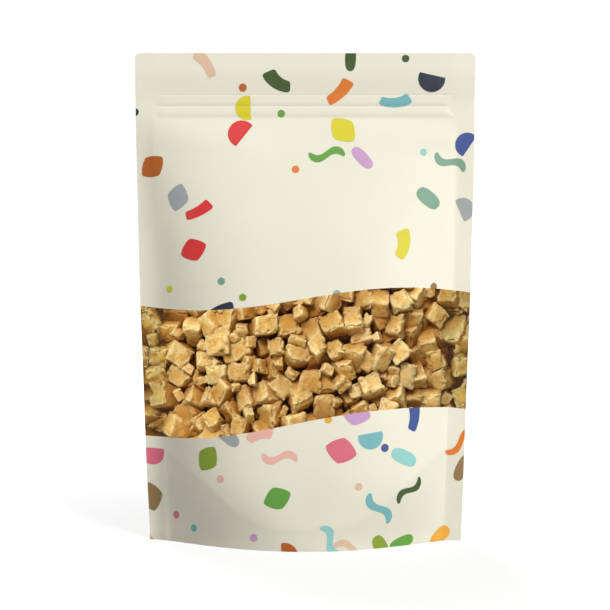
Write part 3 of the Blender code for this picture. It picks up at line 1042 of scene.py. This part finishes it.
def cube_lattice(cells):
    """Points on the faces of a cube from -1 to 1, packed closer at its edges, and their quads."""
    index = {}
    quads = []
    for axis, end, a, b in itertools.product(range(3), (0, cells), range(cells), range(cells)):
        ring = [(a, b), (a + 1, b), (a + 1, b + 1), (a, b + 1)]
        corners = []
        for p, q in ring if end else ring[::-1]:
            key = ((end, p, q), (q, end, p), (p, q, end))[axis]
            corners.append(index.setdefault(key, len(index)))
        quads.append(corners)
    spread = np.array(list(index)) / cells * 2 - 1
    crowded = EDGE_CROWDING * np.sin(spread * math.pi / 2)
    return (1 - EDGE_CROWDING) * spread + crowded, np.array(quads)


def scoop(points, spot, radius, inwards):
    """Takes a ball-shaped bite: points inside the ball move inwards to its far side."""
    from_spot = points - spot
    along = from_spot @ inwards
    squared = np.sum(from_spot**2, axis=1)
    reach = np.sqrt(np.maximum(0, radius**2 - squared + along**2))
    inside = squared < radius**2
    return points + np.where(inside, reach - along, 0.0)[:, None] * inwards, inside


def unit(vector):
    return vector / np.linalg.norm(vector)


def cube_shape(lattice, size, kind, draw, noise):
    """One rough cut cube. Returns its points and how much each is edge, rim and broken face."""
    half = size / 2
    share = min(1.0, size.mean() / CUBE_LEAST)  # a small bit is worn in proportion
    rounding = draw.uniform(*CUBE_ROUNDING) * share
    offset = draw.uniform(*NOISE_OFFSETS, 3)

    def roughness(strength, grain, shift=0):
        return strength * noise(points / grain + offset + shift)

    points = lattice * half
    from_edge = np.sort(half - np.abs(points), axis=1)[:, 1]
    edge = np.exp(-((from_edge / EDGE_REACH) ** 2))
    rim = np.exp(-((from_edge / RIM_REACH) ** 2))
    inner = np.clip(points, -(half - rounding), half - rounding)
    normal = points - inner
    normal = normal / np.linalg.norm(normal, axis=1, keepdims=True)
    points = inner + normal * rounding
    shares = (lattice + 1) / 2
    for corner in np.ndindex(2, 2, 2):
        weight = np.prod(np.where(corner, shares, 1 - shares), axis=1)
        points = points + weight[:, None] * draw.uniform(-CORNER_JITTER, CORNER_JITTER, 3) * size
    if draw.uniform() < kind.ledge_chance:
        points = cut_ledge(points, half, draw)

    fracture = np.zeros(len(points))
    for _ in range(draw.integers(kind.chips[0], kind.chips[1] + 1)):
        way = draw.choice((-1.0, 1.0), 3) * draw.choice(CHIP_WAYS, 3, p=CHIP_ODDS)
        way = unit(way + draw.normal(0, CHIP_LEAN, 3))
        along = points @ way
        beyond = along - (along.max() - draw.uniform(*kind.chip_depth) * share)
        beyond = beyond - roughness(CHIP_ROUGHNESS, ROUGH_RELIEF[1])
        points = points - np.maximum(0, beyond)[:, None] * way
        fracture = np.maximum(fracture, smooth_step(0, CHIP_BLEND, beyond))
    for _ in range(draw.integers(kind.bites[0], kind.bites[1] + 1)):
        spot = points[draw.choice(np.flatnonzero(edge > BITE_EDGE))]
        inwards = unit(-spot + draw.normal(0, BITE_LEAN, 3) * half)
        radius = draw.uniform(*BITE_RADIUS) * share
        radius = radius * (1 + roughness(BITE_ROUGHNESS, ROUGH_RELIEF[1]))
        middle = spot - inwards * radius.mean() * BITE_SINK
        points, inside = scoop(points, middle, radius, inwards)
        fracture = np.maximum(fracture, inside)
    for _ in range(draw.integers(kind.pits[0], kind.pits[1] + 1)):
        spot = points[draw.integers(len(points))]
        radius = draw.uniform(*PIT_RADIUS) * share
        distance = np.linalg.norm(points - spot, axis=1) / radius
        pit = np.clip(1 - distance**2, 0, 1)
        points = points - normal * (pit * radius * draw.uniform(*PIT_DEPTH))[:, None]
        fracture = np.maximum(fracture, pit * PIT_FRACTURE)

    nibble = sum(roughness(*layer) for layer in NIBBLE_LAYERS)
    nibble = smooth_step(0.0, NIBBLE_FULL, nibble) * edge
    points = points - normal * (kind.nibble * share * nibble)[:, None]
    relief_height = roughness(*FACE_RELIEF) + roughness(*ROUGH_RELIEF) * (1 + fracture)
    points = points + normal * (share * relief_height)[:, None]
    return points, np.stack([edge * (1 - NIBBLE_PALE * nibble), rim, fracture], axis=1)


def cut_ledge(points, half, draw):
    """Lowers part of one face by a step, as where a layer has split off."""
    face, along = draw.permutation(3)[:2]
    up, way = draw.choice((-1, 1), 2)
    start = draw.uniform(*LEDGE_START) * half[along]
    beyond = smooth_step(0, LEDGE_BLEND, points[:, along] * way - start)
    outer = np.clip(points[:, face] * up / half[face], 0, 1)
    lowered = points.copy()
    lowered[:, face] -= up * draw.uniform(*LEDGE_STEP) * beyond * outer
    return lowered


def point_normals(points, quads):
    """Outward normals of a closed mesh at its points."""
    first = points[quads[:, 2]] - points[quads[:, 0]]
    second = points[quads[:, 3]] - points[quads[:, 1]]
    normals = np.zeros_like(points)
    for corner in range(4):
        np.add.at(normals, quads[:, corner], np.cross(first, second))
    return normals / np.linalg.norm(normals, axis=1, keepdims=True).clip(TINY_AREA)


def make_heap(draw):
    """Settles the cubes, levels the heap and fills its hollows with more cubes and with bits.

    Returns the sizes, centres and rotations, how many are whole cubes, the height at which the
    film lies on them, and over how many grid points each can be seen."""
    bed = bed_places(draw)
    sizes = block_sizes(len(bed) + LOOSE_COUNT, draw)
    centres, turns = settle(bed, sizes, draw)
    centres = level(centres, Topside(sizes, centres, turns))
    topside = Topside(sizes, centres, turns)
    film_height = np.percentile(topside.tops, FILM_PERCENTILE)
    heap = fill_hollows(CUBE_FILLING, film_height, (sizes, centres, turns), topside, draw)
    whole = len(heap[0])
    heap = fill_hollows(BIT_FILLING, film_height, heap, topside, draw)
    seen = np.bincount(topside.owner[topside.owner >= 0], minlength=len(heap[0]))
    return heap, whole, film_height, seen


def make_cubes(girth):
    """Settles, shapes and places the cubes. Returns one piece for each kind of cube."""
    draw = np.random.default_rng(SEED)
    noise = Noise(CUBE_SEED)
    heap, whole, film_height, seen = make_heap(draw)
    fine, medium, coarse = (cube_lattice(cells) for cells in CELL_COUNTS)
    cubes = {name: [] for name in CUBE_KINDS}
    kinds = [name for name in CUBE_KINDS if name != BITS]
    for number, (sight, size, centre, turn) in enumerate(zip(seen, *heap)):
        name = kinds[number % len(kinds)] if number < whole else BITS
        lattice, quads = fine if sight > SIGHT_MUCH else medium if sight > SIGHT_LEAST else coarse
        if name == BITS:
            lattice, quads = medium
        points, wear = cube_shape(lattice, size, CUBE_KINDS[name], draw, noise)
        settled = points @ turn.T + centre
        around = settled[:, 0]
        z = settled[:, 1] + (TRAY_HIGH + TRAY_LOW) / 2
        behind = max(film_height, settled[:, 2].max()) - settled[:, 2]
        if not in_band(around, z, girth):
            continue
        placed, squeeze = behind_film(around, z, behind, girth)
        if placed is None:
            continue
        # Painted shade for the flattened cubes, which are too flat to shade each other: faces
        # turned from FLAT_LIGHT and points deep in the heap get darker.
        turned = 1 - np.clip(point_normals(settled, quads) @ unit(np.array(FLAT_LIGHT)), 0, 1)
        painted = FLAT_SHADE * smooth_step(*FLAT_SHADE_TURNS, turned)
        gap = smooth_step(*FLAT_GAP_DEPTHS, behind)
        shade = (1 - squeeze) * np.minimum(1, painted + gap)
        look = np.stack([np.full(len(points), draw.uniform()), shade, behind / DEEP_REACH], axis=1)
        # Painted shade on every cube: faces turned from the light and points low in the heap get a
        # deeper, warmer colour, flattened cubes more, in place of the light the cubes throw on each
        # other.
        shade_warmth = SHADE_WARMTH_SIDES * turned + SHADE_WARMTH_DEEP * smooth_step(*SHADE_WARMTH_DEPTHS, behind)
        shade_warmth = np.minimum(1, shade_warmth + FLAT_SHADE_WARMTH * (1 - squeeze))
        cubes[name].append((placed, quads, look, wear, shade_warmth))
    pieces = []
    for name, parts in cubes.items():
        piece = joined_object(name, [part[:2] for part in parts])
        add_looks(piece, *(np.concatenate(values) for values in list(zip(*parts))[2:]))
        pieces.append(piece)
    return pieces


def in_band(around, z, girth):
    """True if part of a cube lies behind the band, or so near it that it shows at a slant."""
    x = girth.x_at(around, z)
    inside = (z < UPPER_EDGE.at(x) + SLANT_ABOVE) & (z > LOWER_EDGE.at(x) - SLANT_BELOW)
    inside &= np.abs(around) < girth.half_total(z)
    return inside.any()


def behind_film(around, z, behind, girth):
    """Lays points of the flat heap behind the curved front, flattened where the pouch is thin.

    Returns the points and how much they are flattened, or None for a cube that lies too deep."""
    limit = girth.half_total(z) - EDGE_GAP
    x = girth.x_at(np.clip(around, -limit, limit), z)
    depth = room_inside(x, z)
    gap = np.minimum(FILM_TO_CUBES, FILM_SHARE * depth)
    room = ROOM_SHARE * (depth - 2 * gap)
    used = room * room_at_crease(x, z, CREASE_ROOM)
    squeeze = np.minimum(1.0, used / CUBE_ROOM)
    inwards = behind * squeeze
    if np.mean(inwards > used) > HIDDEN_SHARE:
        return None, squeeze
    to_middle = np.where(x > 0, (room - used) / 2, 0.0)  # the left seal is creased only behind
    inwards = gap + to_middle + np.minimum(inwards, used)
    return between_faces(film_points(x, z, FRONT, inwards)), squeeze


def room_at_crease(x, z, least):
    """The share of the room that is used: less where a side seal starts, because the film has a
    crease there that nothing may cross."""
    from_crease = body_half_width(z) - np.abs(x) - CREASE_OFFSET
    return 1 - (1 - least) * np.exp(-((from_crease / CREASE_REACH) ** 2))


def between_faces(points):
    """Keeps points that lie in the pouch clear of both faces of its film."""
    x, y, z = np.moveaxis(points, -1, 0)
    y = np.clip(y, film_y(x, z, FRONT) + FILM_CLEARANCE, film_y(x, z, BACK) - FILM_CLEARANCE)
    return np.stack([x, y, z], axis=-1)


def add_looks(target, look, wear, shade_warmth):
    """What the caramel material needs to know of each point."""
    add_attribute(target, "look", "FLOAT_VECTOR", look)
    add_attribute(target, "wear", "FLOAT_VECTOR", wear)
    add_attribute(target, "shade_warmth", "FLOAT", shade_warmth)


def make_core(x, z):
    """The lumpy mass of cubes deep in the pouch, seen only in the gaps between the others, coloured
    dark with painted shade.
    """
    rows = rows_between(1 - CORE_MARGIN, 2 + CORE_MARGIN)
    x, z = x[rows], z[rows]
    place = np.stack([x, np.zeros_like(x), z], axis=-1)
    lumps = sum(share * Noise(seed)(place / size) for seed, size, share in CORE_LUMPS)
    depth = room_inside(x, z)
    room = CORE_ROOM_SHARE * depth * room_at_crease(x, z, CORE_CREASE_ROOM)
    inwards = np.minimum(CORE_DEPTH + CORE_LUMP * lumps, room)
    points = between_faces(film_points(x, z, FRONT, inwards))
    core = mesh_object("cubes_deep", points.reshape(-1, 3), [grid_faces(*x.shape)])
    # Painted shade: the mass is coloured dark all over, darkest where the pouch is thin.
    squeeze = np.minimum(1.0, ROOM_SHARE * depth / CUBE_ROOM)
    shade = CORE_SHADES[0] + (CORE_SHADES[1] - CORE_SHADES[0]) * squeeze.ravel()
    look = np.stack([np.full(x.size, CORE_TONE), shade, np.ones(x.size)], axis=1)
    add_looks(core, look, np.zeros((x.size, 3)), np.ones(x.size))
    return core


# The print: generic shapes in many colours, scattered over the film.


def ribbon_grid(length, width, corner, columns, rows):
    """A straight ribbon with rounded corners: how far along its middle, and across it."""
    turn = np.linspace(-math.pi / 2, math.pi / 2, columns)
    along, across = np.meshgrid(
        np.sin(turn) / 2 * length, np.linspace(-0.5, 0.5, rows), indexing="ij"
    )
    from_end = np.clip(corner - (length / 2 - np.abs(along)), 0, corner)
    cut = corner - np.sqrt(corner**2 - from_end**2)
    return along, across * (width - 2 * cut)


def arc_ribbon(draw):
    """A blunt strip, bent to an arc, that narrows a little towards one end."""
    length = draw.uniform(*ARC_LENGTH)
    width = draw.uniform(*ARC_WIDTH)
    bend = draw.choice([-1, 1]) * draw.uniform(*ARC_BEND)
    along, across = ribbon_grid(length, width, ARC_CORNER * width, columns=25, rows=8)
    across = across * (1 - ARC_TAPER * along / length)
    turn = bend * along / length
    radius = length / bend + across
    return np.stack([radius * np.sin(turn), radius * np.cos(turn) - length / bend], axis=-1)


def wave_ribbon(draw):
    """A narrow ribbon in one soft wave, with round ends."""
    length = draw.uniform(*WAVE_LENGTH)
    width = draw.uniform(*WAVE_WIDTH)
    along, across = ribbon_grid(length, width, width / 2, columns=33, rows=6)
    swing = draw.choice([-1, 1]) * WAVE_SWING * np.sin(2 * math.pi * along / length)
    return np.stack([along, swing + across], axis=-1)


def oval(radius, power=2.0, stretch=1.0, rings=8, sides=40):
    """A filled oval, ring by ring from its middle: squarer for a high power, pointed for a low."""
    turn = np.linspace(0, 2 * math.pi, sides + 1)
    outline = np.abs(np.cos(turn)) ** power + np.abs(np.sin(turn) / stretch) ** power
    reach = outline ** (-1 / power) * radius
    shares = np.linspace(0, 1, rings + 1)[:, None]
    return np.stack([shares * reach * np.cos(turn), shares * reach * np.sin(turn)], axis=-1)


def pill(draw):
    stretch = draw.uniform(*PILL_STRETCH)
    return oval(draw.uniform(*PILL_RADIUS), PILL_POWER, stretch)


def diamond(draw):
    return oval(draw.uniform(*DIAMOND_RADIUS), DIAMOND_POWER, DIAMOND_STRETCH)


def half_disc(draw):
    radius = draw.uniform(*HALF_DISC_RADIUS)
    x, y = np.moveaxis(oval(radius), -1, 0)
    flat = -HALF_DISC_CUT * radius
    return np.stack([x, np.maximum(y, flat) - flat / 2], axis=-1)


def dot(draw):
    return oval(draw.uniform(*DOT_RADIUS), rings=3, sides=24)


def allowed_on_front(around, z, girth):
    """Keeps shapes off the clear band and off the bare panel in the upper middle."""
    x = girth.x_at(around, z)
    in_window = LOWER_EDGE.at(x) + BAND_MARGIN < z < UPPER_EDGE.at(x) - BAND_MARGIN
    in_panel = abs(around) < PANEL_HALF_WIDTH and PANEL_LOW < z < PANEL_HIGH
    return not in_window and not in_panel


def scatter(draw, count, spacing, taken, girth, side):
    """Random places on the film that keep their distance from each other and from those taken."""
    places = []
    for _ in range(count * TRIES):
        if len(places) == count:
            break
        around = draw.uniform(-1, 1) * (FLAT_HALF_WIDTH + PRINT_MARGIN)
        z = draw.uniform(-PRINT_MARGIN, HEIGHT + PRINT_MARGIN)
        if side == FRONT and not allowed_on_front(around, z, girth):
            continue
        gaps = [math.hypot(around - a, z - b) - room for a, b, room in taken + places]
        if all(gap > spacing for gap in gaps):
            places.append((around, z, spacing * 0.5))
    return places


def print_shape(flat, place, turn, girth, side):
    """Lays one flat shape on the film and keeps it inside the pouch's outline and off the band."""
    cosine, sine = math.cos(turn), math.sin(turn)
    around = place[0] + flat[..., 0] * cosine - flat[..., 1] * sine
    z = place[1] + flat[..., 0] * sine + flat[..., 1] * cosine
    z = np.clip(z, PRINT_EDGE, HEIGHT - PRINT_EDGE)
    limit = girth.half_total(z) - PRINT_EDGE
    around = np.clip(around, -limit, limit)
    x = girth.x_at(around, z)
    if side == FRONT:
        middle = girth.x_at(place[0], place[1])
        if place[1] > (LOWER_EDGE.at(middle) + UPPER_EDGE.at(middle)) / 2:
            z = np.maximum(z, UPPER_EDGE.at(x))
        else:
            z = np.minimum(z, LOWER_EDGE.at(x))
        x = girth.x_at(around, z)
    limit = cut_half_width(z) - PRINT_EDGE
    return film_points(np.clip(x, -limit, limit), z, side, -PRINT_PROUD)


def make_print(name, side, girth, seed, large, dots):
    """All the shapes of one face, as one piece with its colours in an attribute."""
    draw = np.random.default_rng(seed)
    big = scatter(draw, large, LARGE_SPACING, [], girth, side)
    small = scatter(draw, dots, DOT_SPACING, big, girth, side)
    motifs = [arc_ribbon, wave_ribbon, pill, diamond, half_disc]
    shapes = [(motifs[number % len(motifs)](draw), place) for number, place in enumerate(big)]
    shapes += [(dot(draw), place) for place in small]
    order = list(draw.permutation(len(INKS)))
    parts = []
    colours = []
    for number, (flat, place) in enumerate(shapes):
        laid = print_shape(flat, place, draw.uniform(0, 2 * math.pi), girth, side)
        parts.append((laid.reshape(-1, 3), grid_faces(*laid.shape[:2])))
        ink = linear(INKS[order[number % len(INKS)]])
        colours.append(np.tile(ink, (len(parts[-1][0]), 1)))
    printed = joined_object(name, parts)
    add_attribute(printed, "ink", "FLOAT_COLOR", np.concatenate(colours))
    weld(printed, PRINT_WELD)
    with edited(printed) as body:
        body.normal_update()
        inward = [face for face in body.faces if face.normal.y * side < 0]
        bmesh.ops.reverse_faces(body, faces=inward)
    return printed


# Materials.


def linear(colour):
    """A colour as seen on a screen (0 to 255) as the shader's linear values."""
    values = [c / 255 for c in colour]
    values = [c / 12.92 if c <= 0.04045 else ((c + 0.055) / 1.055) ** 2.4 for c in values]
    return (*values, 1.0)


def set_inputs(tree, node, inputs):
    """Sets each named or numbered input to a value, or links it to a socket."""
    for name, value in inputs.items():
        if isinstance(value, bpy.types.NodeSocket):
            tree.links.new(value, node.inputs[name])
        else:
            node.inputs[name].default_value = value


def add_node(tree, kind, inputs=None, **settings):
    """A new node with its settings and its inputs."""
    node = tree.nodes.new(kind)
    for name, value in settings.items():
        setattr(node, name, value)
    set_inputs(tree, node, inputs or {})
    return node


def new_material(name):
    """A Principled material, its node tree, its shader and its object coordinates."""
    made = bpy.data.materials.new(name)
    made.use_nodes = True
    tree = made.node_tree
    place = add_node(tree, "ShaderNodeTexCoord").outputs["Object"]
    return made, tree, tree.nodes["Principled BSDF"], place


def noise_texture(tree, place, scale, detail=2.0, roughness=0.5):
    inputs = {"Vector": place, "Scale": scale, "Detail": detail, "Roughness": roughness}
    return add_node(tree, "ShaderNodeTexNoise", inputs).outputs["Fac"]


def map_range(tree, value, low, high, new_low, new_high):
    names = ("Value", "From Min", "From Max", "To Min", "To Max")
    inputs = dict(zip(names, (value, low, high, new_low, new_high)))
    return add_node(tree, "ShaderNodeMapRange", inputs).outputs["Result"]


def uneven(tree, place, scale, least, most):
    """A value that changes softly over the film."""
    soft = noise_texture(tree, place, scale, detail=3.0)
    return map_range(tree, soft, *NOISE_SPAN, least, most)


def mix_colour(tree, factor, first, second, blend="MIX"):
    inputs = {0: factor, 6: first, 7: second}
    mixed = add_node(tree, "ShaderNodeMix", inputs, data_type="RGBA", blend_type=blend)
    return mixed.outputs[2]


def mix_shaders(tree, factor, first, second):
    inputs = {0: factor, 1: first.outputs[0], 2: second.outputs[0]}
    return add_node(tree, "ShaderNodeMixShader", inputs).outputs[0]


def maths(tree, operation, first, second):
    return add_node(tree, "ShaderNodeMath", {0: first, 1: second}, operation=operation).outputs[0]


def bumps(tree, height, strength, distance):
    inputs = {"Height": height, "Strength": strength, "Distance": distance}
    return add_node(tree, "ShaderNodeBump", inputs).outputs["Normal"]


def attribute(tree, name, output):
    return add_node(tree, "ShaderNodeAttribute", attribute_name=name).outputs[output]


def parts_of(tree, vector):
    """The three parts of a vector or a colour."""
    return add_node(tree, "ShaderNodeSeparateXYZ", {0: vector}).outputs[:]


def finish_film(tree, shader, place, colour):
    """The satin grain that the bare film and the ink on it share."""
    grain = noise_texture(tree, place, FILM_GRAIN_SCALE)
    inputs = {
        "Base Color": colour,
        "Roughness": uneven(tree, place, FILM_SMEAR_SCALE, *FILM_ROUGHNESS),
        "Normal": bumps(tree, grain, FILM_GRAIN_STRENGTH, FILM_GRAIN_HEIGHT),
        "Specular IOR Level": FILM_GLOSS,
    }
    set_inputs(tree, shader, inputs)


def film_material():
    made, tree, shader, place = new_material("printed_film")
    mottle = uneven(tree, place, FILM_MOTTLE_SCALE, 0.0, 1.0)
    cream = mix_colour(tree, mottle, CREAM, CREAM_DEEP)
    below_weld = attribute(tree, "below_weld", "Fac")
    colour = mix_colour(tree, below_weld, cream, CREAM_BELOW_WELD, "MULTIPLY")
    finish_film(tree, shader, place, colour)
    return made


def ink_material():
    made, tree, shader, place = new_material("ink")
    wear = uneven(tree, place, INK_MOTTLE_SCALE, 0.0, INK_WEAR)
    colour = mix_colour(tree, wear, attribute(tree, "ink", "Color"), INK_WORN)
    finish_film(tree, shader, place, colour)
    return made


def window_material():
    """Clear film: it lets nearly all light through and has a soft sheen, more so at a slant."""
    made, tree, shader, place = new_material("clear_film")
    tree.nodes.remove(shader)
    roughness = uneven(tree, place, FILM_SMEAR_SCALE, *WINDOW_ROUGHNESS)
    sheen = add_node(tree, "ShaderNodeBsdfGlossy", {"Color": WHITE, "Roughness": roughness})
    clear = add_node(tree, "ShaderNodeBsdfTransparent", {"Color": WINDOW_TINT})
    slant = add_node(tree, "ShaderNodeFresnel", {"IOR": WINDOW_IOR}).outputs["Fac"]
    mixed = mix_shaders(tree, maths(tree, "MULTIPLY", slant, WINDOW_SHEEN), clear, sheen)
    set_inputs(tree, tree.nodes["Material Output"], {"Surface": mixed})
    return made


def tone_ramp(tree, value):
    """The caramel's tones, evenly spread over values from 0 to 1."""
    ramp = add_node(tree, "ShaderNodeValToRGB", {"Fac": value})
    stops = ramp.color_ramp.elements
    stops[0].color = CARAMEL_TONES[0]
    stops[1].color = CARAMEL_TONES[-1]
    for number, tone in enumerate(CARAMEL_TONES[1:-1], start=1):
        stops.new(number / (len(CARAMEL_TONES) - 1)).color = tone
    return ramp.outputs["Color"]


def cell_spots(tree, draw, distance, chance, edge):
    """Round spots in the middle of some of a texture's cells."""
    chosen = map_range(tree, draw, *chance)
    return maths(tree, "MULTIPLY", chosen, map_range(tree, distance, *edge))


def caramel_material():
    """Cut caramel: a tone for each cube, amber faces, pale worn edges, crumb and a few holes, with
    painted shade in the holes, pale specks painted as glints, and painted shade on faces turned
    from the light, low in the heap and in the gaps.
    """
    made, tree, shader, place = new_material("caramel")
    tone, painted, deep = parts_of(tree, attribute(tree, "look", "Vector"))
    edge, rim, fracture = parts_of(tree, attribute(tree, "wear", "Vector"))
    shade_warmth = attribute(tree, "shade_warmth", "Fac")
    blotch = noise_texture(tree, place, *BLOTCH_NOISE)
    crumb = noise_texture(tree, place, *CRUMB_NOISE)
    amber = map_range(tree, noise_texture(tree, place, *AMBER_NOISE), *AMBER_TO_WARM)
    cells = add_node(tree, "ShaderNodeTexVoronoi", {"Vector": place, "Scale": CELL_SCALE})
    hole_draw, speck_draw, _ = parts_of(tree, cells.outputs["Color"])
    distance = cells.outputs["Distance"]
    hole = cell_spots(tree, hole_draw, distance, CELL_TO_HOLE, HOLE_EDGE)
    speck = cell_spots(tree, speck_draw, distance, CELL_TO_SPECK, SPECK_EDGE)

    shifted = maths(tree, "ADD", tone, map_range(tree, blotch, *BLOTCH_TO_TONE))
    inside_rim = maths(tree, "SUBTRACT", 1.0, rim)
    depth_shade = map_range(tree, deep, *DEPTH_TO_SHADE)
    painted_shade = map_range(tree, painted, *PAINTED_TO_SHADE)
    layers = (
        (maths(tree, "MULTIPLY", amber, inside_rim), CARAMEL_WARM, "MIX"),
        (maths(tree, "MULTIPLY", edge, WORN_SHARE), CARAMEL_EDGE, "MIX"),
        (maths(tree, "MULTIPLY", fracture, BROKEN_SHARE), CARAMEL_BROKEN, "MIX"),
        (map_range(tree, crumb, *CRUMB_TO_DARK), CARAMEL_DARK, "MIX"),
        # The holes are darkened with painted shade; the crumb above is the caramel's own mottle.
        (maths(tree, "MULTIPLY", hole, HOLE_SHADE_SHARE), CARAMEL_DARK, "MIX"),
        # Pale sugar specks, painted bright as small glints: a painted highlight.
        (speck, CARAMEL_SPECK_GLINT, "MIX"),
        # Painted shade: a deeper, warmer colour on faces turned from the light, low in the heap and
        # on flattened cubes.
        (shade_warmth, CARAMEL_SHADE_WARMTH, "MULTIPLY"),
        # Painted shade: darker low in the heap and on flattened faces turned from the light, and
        # darkest in the painted gaps.
        (maths(tree, "MAXIMUM", depth_shade, painted_shade), CARAMEL_DEPTH_SHADE, "MIX"),
        (map_range(tree, painted, *PAINTED_TO_GAP), CARAMEL_GAP_SHADE, "MIX"),
    )
    colour = tone_ramp(tree, shifted)
    for factor, layer_colour, blend in layers:
        colour = mix_colour(tree, factor, colour, layer_colour, blend)
    height = maths(tree, "SUBTRACT", crumb, hole)
    inputs = {
        "Base Color": colour,
        "Roughness": map_range(tree, crumb, *CRUMB_TO_ROUGHNESS),
        "Normal": bumps(tree, height, CRUMB_STRENGTH, CRUMB_HEIGHT),
        "Specular IOR Level": CARAMEL_GLOSS,
        "Specular Tint": CARAMEL_GLINT,
        "Subsurface Weight": GLOW_SHARE,
        "Subsurface Radius": GLOW_COLOUR,
        "Subsurface Scale": GLOW_REACH,
    }
    set_inputs(tree, shader, inputs)
    return made


# The studio.


def for_camera(tree, lighting, seen):
    """One shader for the light that it throws, and another for what the camera sees."""
    is_seen = add_node(tree, "ShaderNodeLightPath").outputs["Is Camera Ray"]
    return mix_shaders(tree, is_seen, lighting, seen)


def make_floor():
    """A pale floor. The camera sees it nearly white, and it throws little light on the pouch."""
    corners = np.array([(-1, -1, 0), (1, -1, 0), (1, 1, 0), (-1, 1, 0)]) * FLOOR_REACH
    corners = corners - np.array([0, 0, FLOOR_DROP])
    floor = mesh_object("floor", corners, [np.array([[0, 1, 2, 3]])])
    made, tree, shader, place = new_material("floor")
    tree.nodes.remove(shader)
    matte = add_node(tree, "ShaderNodeBsdfDiffuse", {"Color": FLOOR_COLOUR})
    pale = add_node(tree, "ShaderNodeBsdfDiffuse", {"Color": FLOOR_SEEN_COLOUR})
    far = add_node(tree, "ShaderNodeVectorMath", {0: place}, operation="LENGTH").outputs["Value"]
    strength = map_range(tree, far, *FLOOR_GLOW)
    glow = add_node(tree, "ShaderNodeEmission", {"Color": WHITE, "Strength": strength})
    both = add_node(tree, "ShaderNodeAddShader", {0: pale.outputs[0], 1: glow.outputs[0]})
    output = tree.nodes["Material Output"]
    set_inputs(tree, output, {"Surface": for_camera(tree, matte, both)})
    floor.data.materials.append(made)
    return floor


def make_world():
    """White behind the pouch, and a dim even light from all round."""
    world = bpy.data.worlds.new("studio")
    bpy.context.scene.world = world
    world.use_nodes = True
    tree = world.node_tree
    tree.nodes.clear()
    dim, white = (
        add_node(tree, "ShaderNodeBackground", {"Color": WHITE, "Strength": strength})
        for strength in (WORLD_LIGHT, SEEN_WHITE)
    )
    add_node(tree, "ShaderNodeOutputWorld", {"Surface": for_camera(tree, dim, white)})


def add_light(name, light):
    """Adds a light. A white surface that faces it with brightness 1 shows as white."""
    lamp = bpy.data.lights.new(name, "AREA")
    lamp.shape = "SQUARE"
    lamp.size = light.size
    lamp.energy = light.brightness * (math.pi * LIGHT_DISTANCE) ** 2
    added = bpy.data.objects.new(name, lamp)
    bpy.context.scene.collection.objects.link(added)
    target = Vector((0, 0, HEIGHT / 2))
    aim(added, target, LIGHT_DISTANCE * direction(light.azimuth, light.elevation))
    return added


def aim(seen_from, target, offset):
    """Places a light or a camera at an offset from its target, looking at it."""
    place = target + offset
    seen_from.location = place
    seen_from.rotation_euler = (target - place).to_track_quat("-Z", "Y").to_euler()


def link_group(name, pieces, state):
    """A collection that a light takes alone (INCLUDE), or leaves out (EXCLUDE)."""
    group = bpy.data.collections.new(name)
    for piece in pieces:
        group.objects.link(piece)
    for member in group.collection_objects:
        member.light_linking.link_state = state
    return group


def direction(azimuth, elevation):
    """A unit vector: azimuth from the front towards the right, elevation up, in degrees."""
    turn, rise = math.radians(azimuth), math.radians(elevation)
    return Vector(
        (math.cos(rise) * math.sin(turn), -math.cos(rise) * math.cos(turn), math.sin(rise))
    )


def make_camera():
    camera_data = bpy.data.cameras.new("camera")
    camera_data.lens = CAMERA_LENS
    camera_data.sensor_width = CAMERA_SENSOR
    camera = bpy.data.objects.new("camera", camera_data)
    bpy.context.scene.collection.objects.link(camera)
    target = Vector((0, 0, CAMERA_TARGET_HEIGHT))
    aim(camera, target, CAMERA_DISTANCE * direction(0, CAMERA_ELEVATION))
    bpy.context.scene.camera = camera


def place_piece(piece, material, node):
    piece.data.materials.append(material)
    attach(piece, "root")
    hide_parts(node)


def main():
    clear_scene()
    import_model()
    girth = Girth()
    x, z = film_grid()
    film = film_material()
    ink = ink_material()
    caramel = caramel_material()
    place_piece(make_film(x, z), film, "pouch")
    place_piece(make_window(x, z), window_material(), "window_film")
    front_print = make_print("print_front", FRONT, girth, *FRONT_PRINT)
    back_print = make_print("print_back", BACK, girth, *BACK_PRINT)
    place_piece(front_print, ink, "pouch")
    place_piece(back_print, ink, "pouch")
    cubes = [*make_cubes(girth), make_core(x, z)]
    for piece in cubes:
        place_piece(piece, caramel, "caramel_cubes")
    make_floor()
    make_world()
    key = add_light("key", KEY)
    key.light_linking.receiver_collection = link_group("key_skips", cubes, "EXCLUDE")
    add_light("back", BACK_LIGHT)
    cube_key = add_light("cube_key", CUBE_KEY)
    cube_key.light_linking.receiver_collection = link_group("cube_key_lights", cubes, "INCLUDE")
    cube_key.light_linking.blocker_collection = link_group("cube_key_shadows", cubes, "INCLUDE")
    make_camera()
    bpy.context.scene.view_settings.view_transform = "Standard"


main()
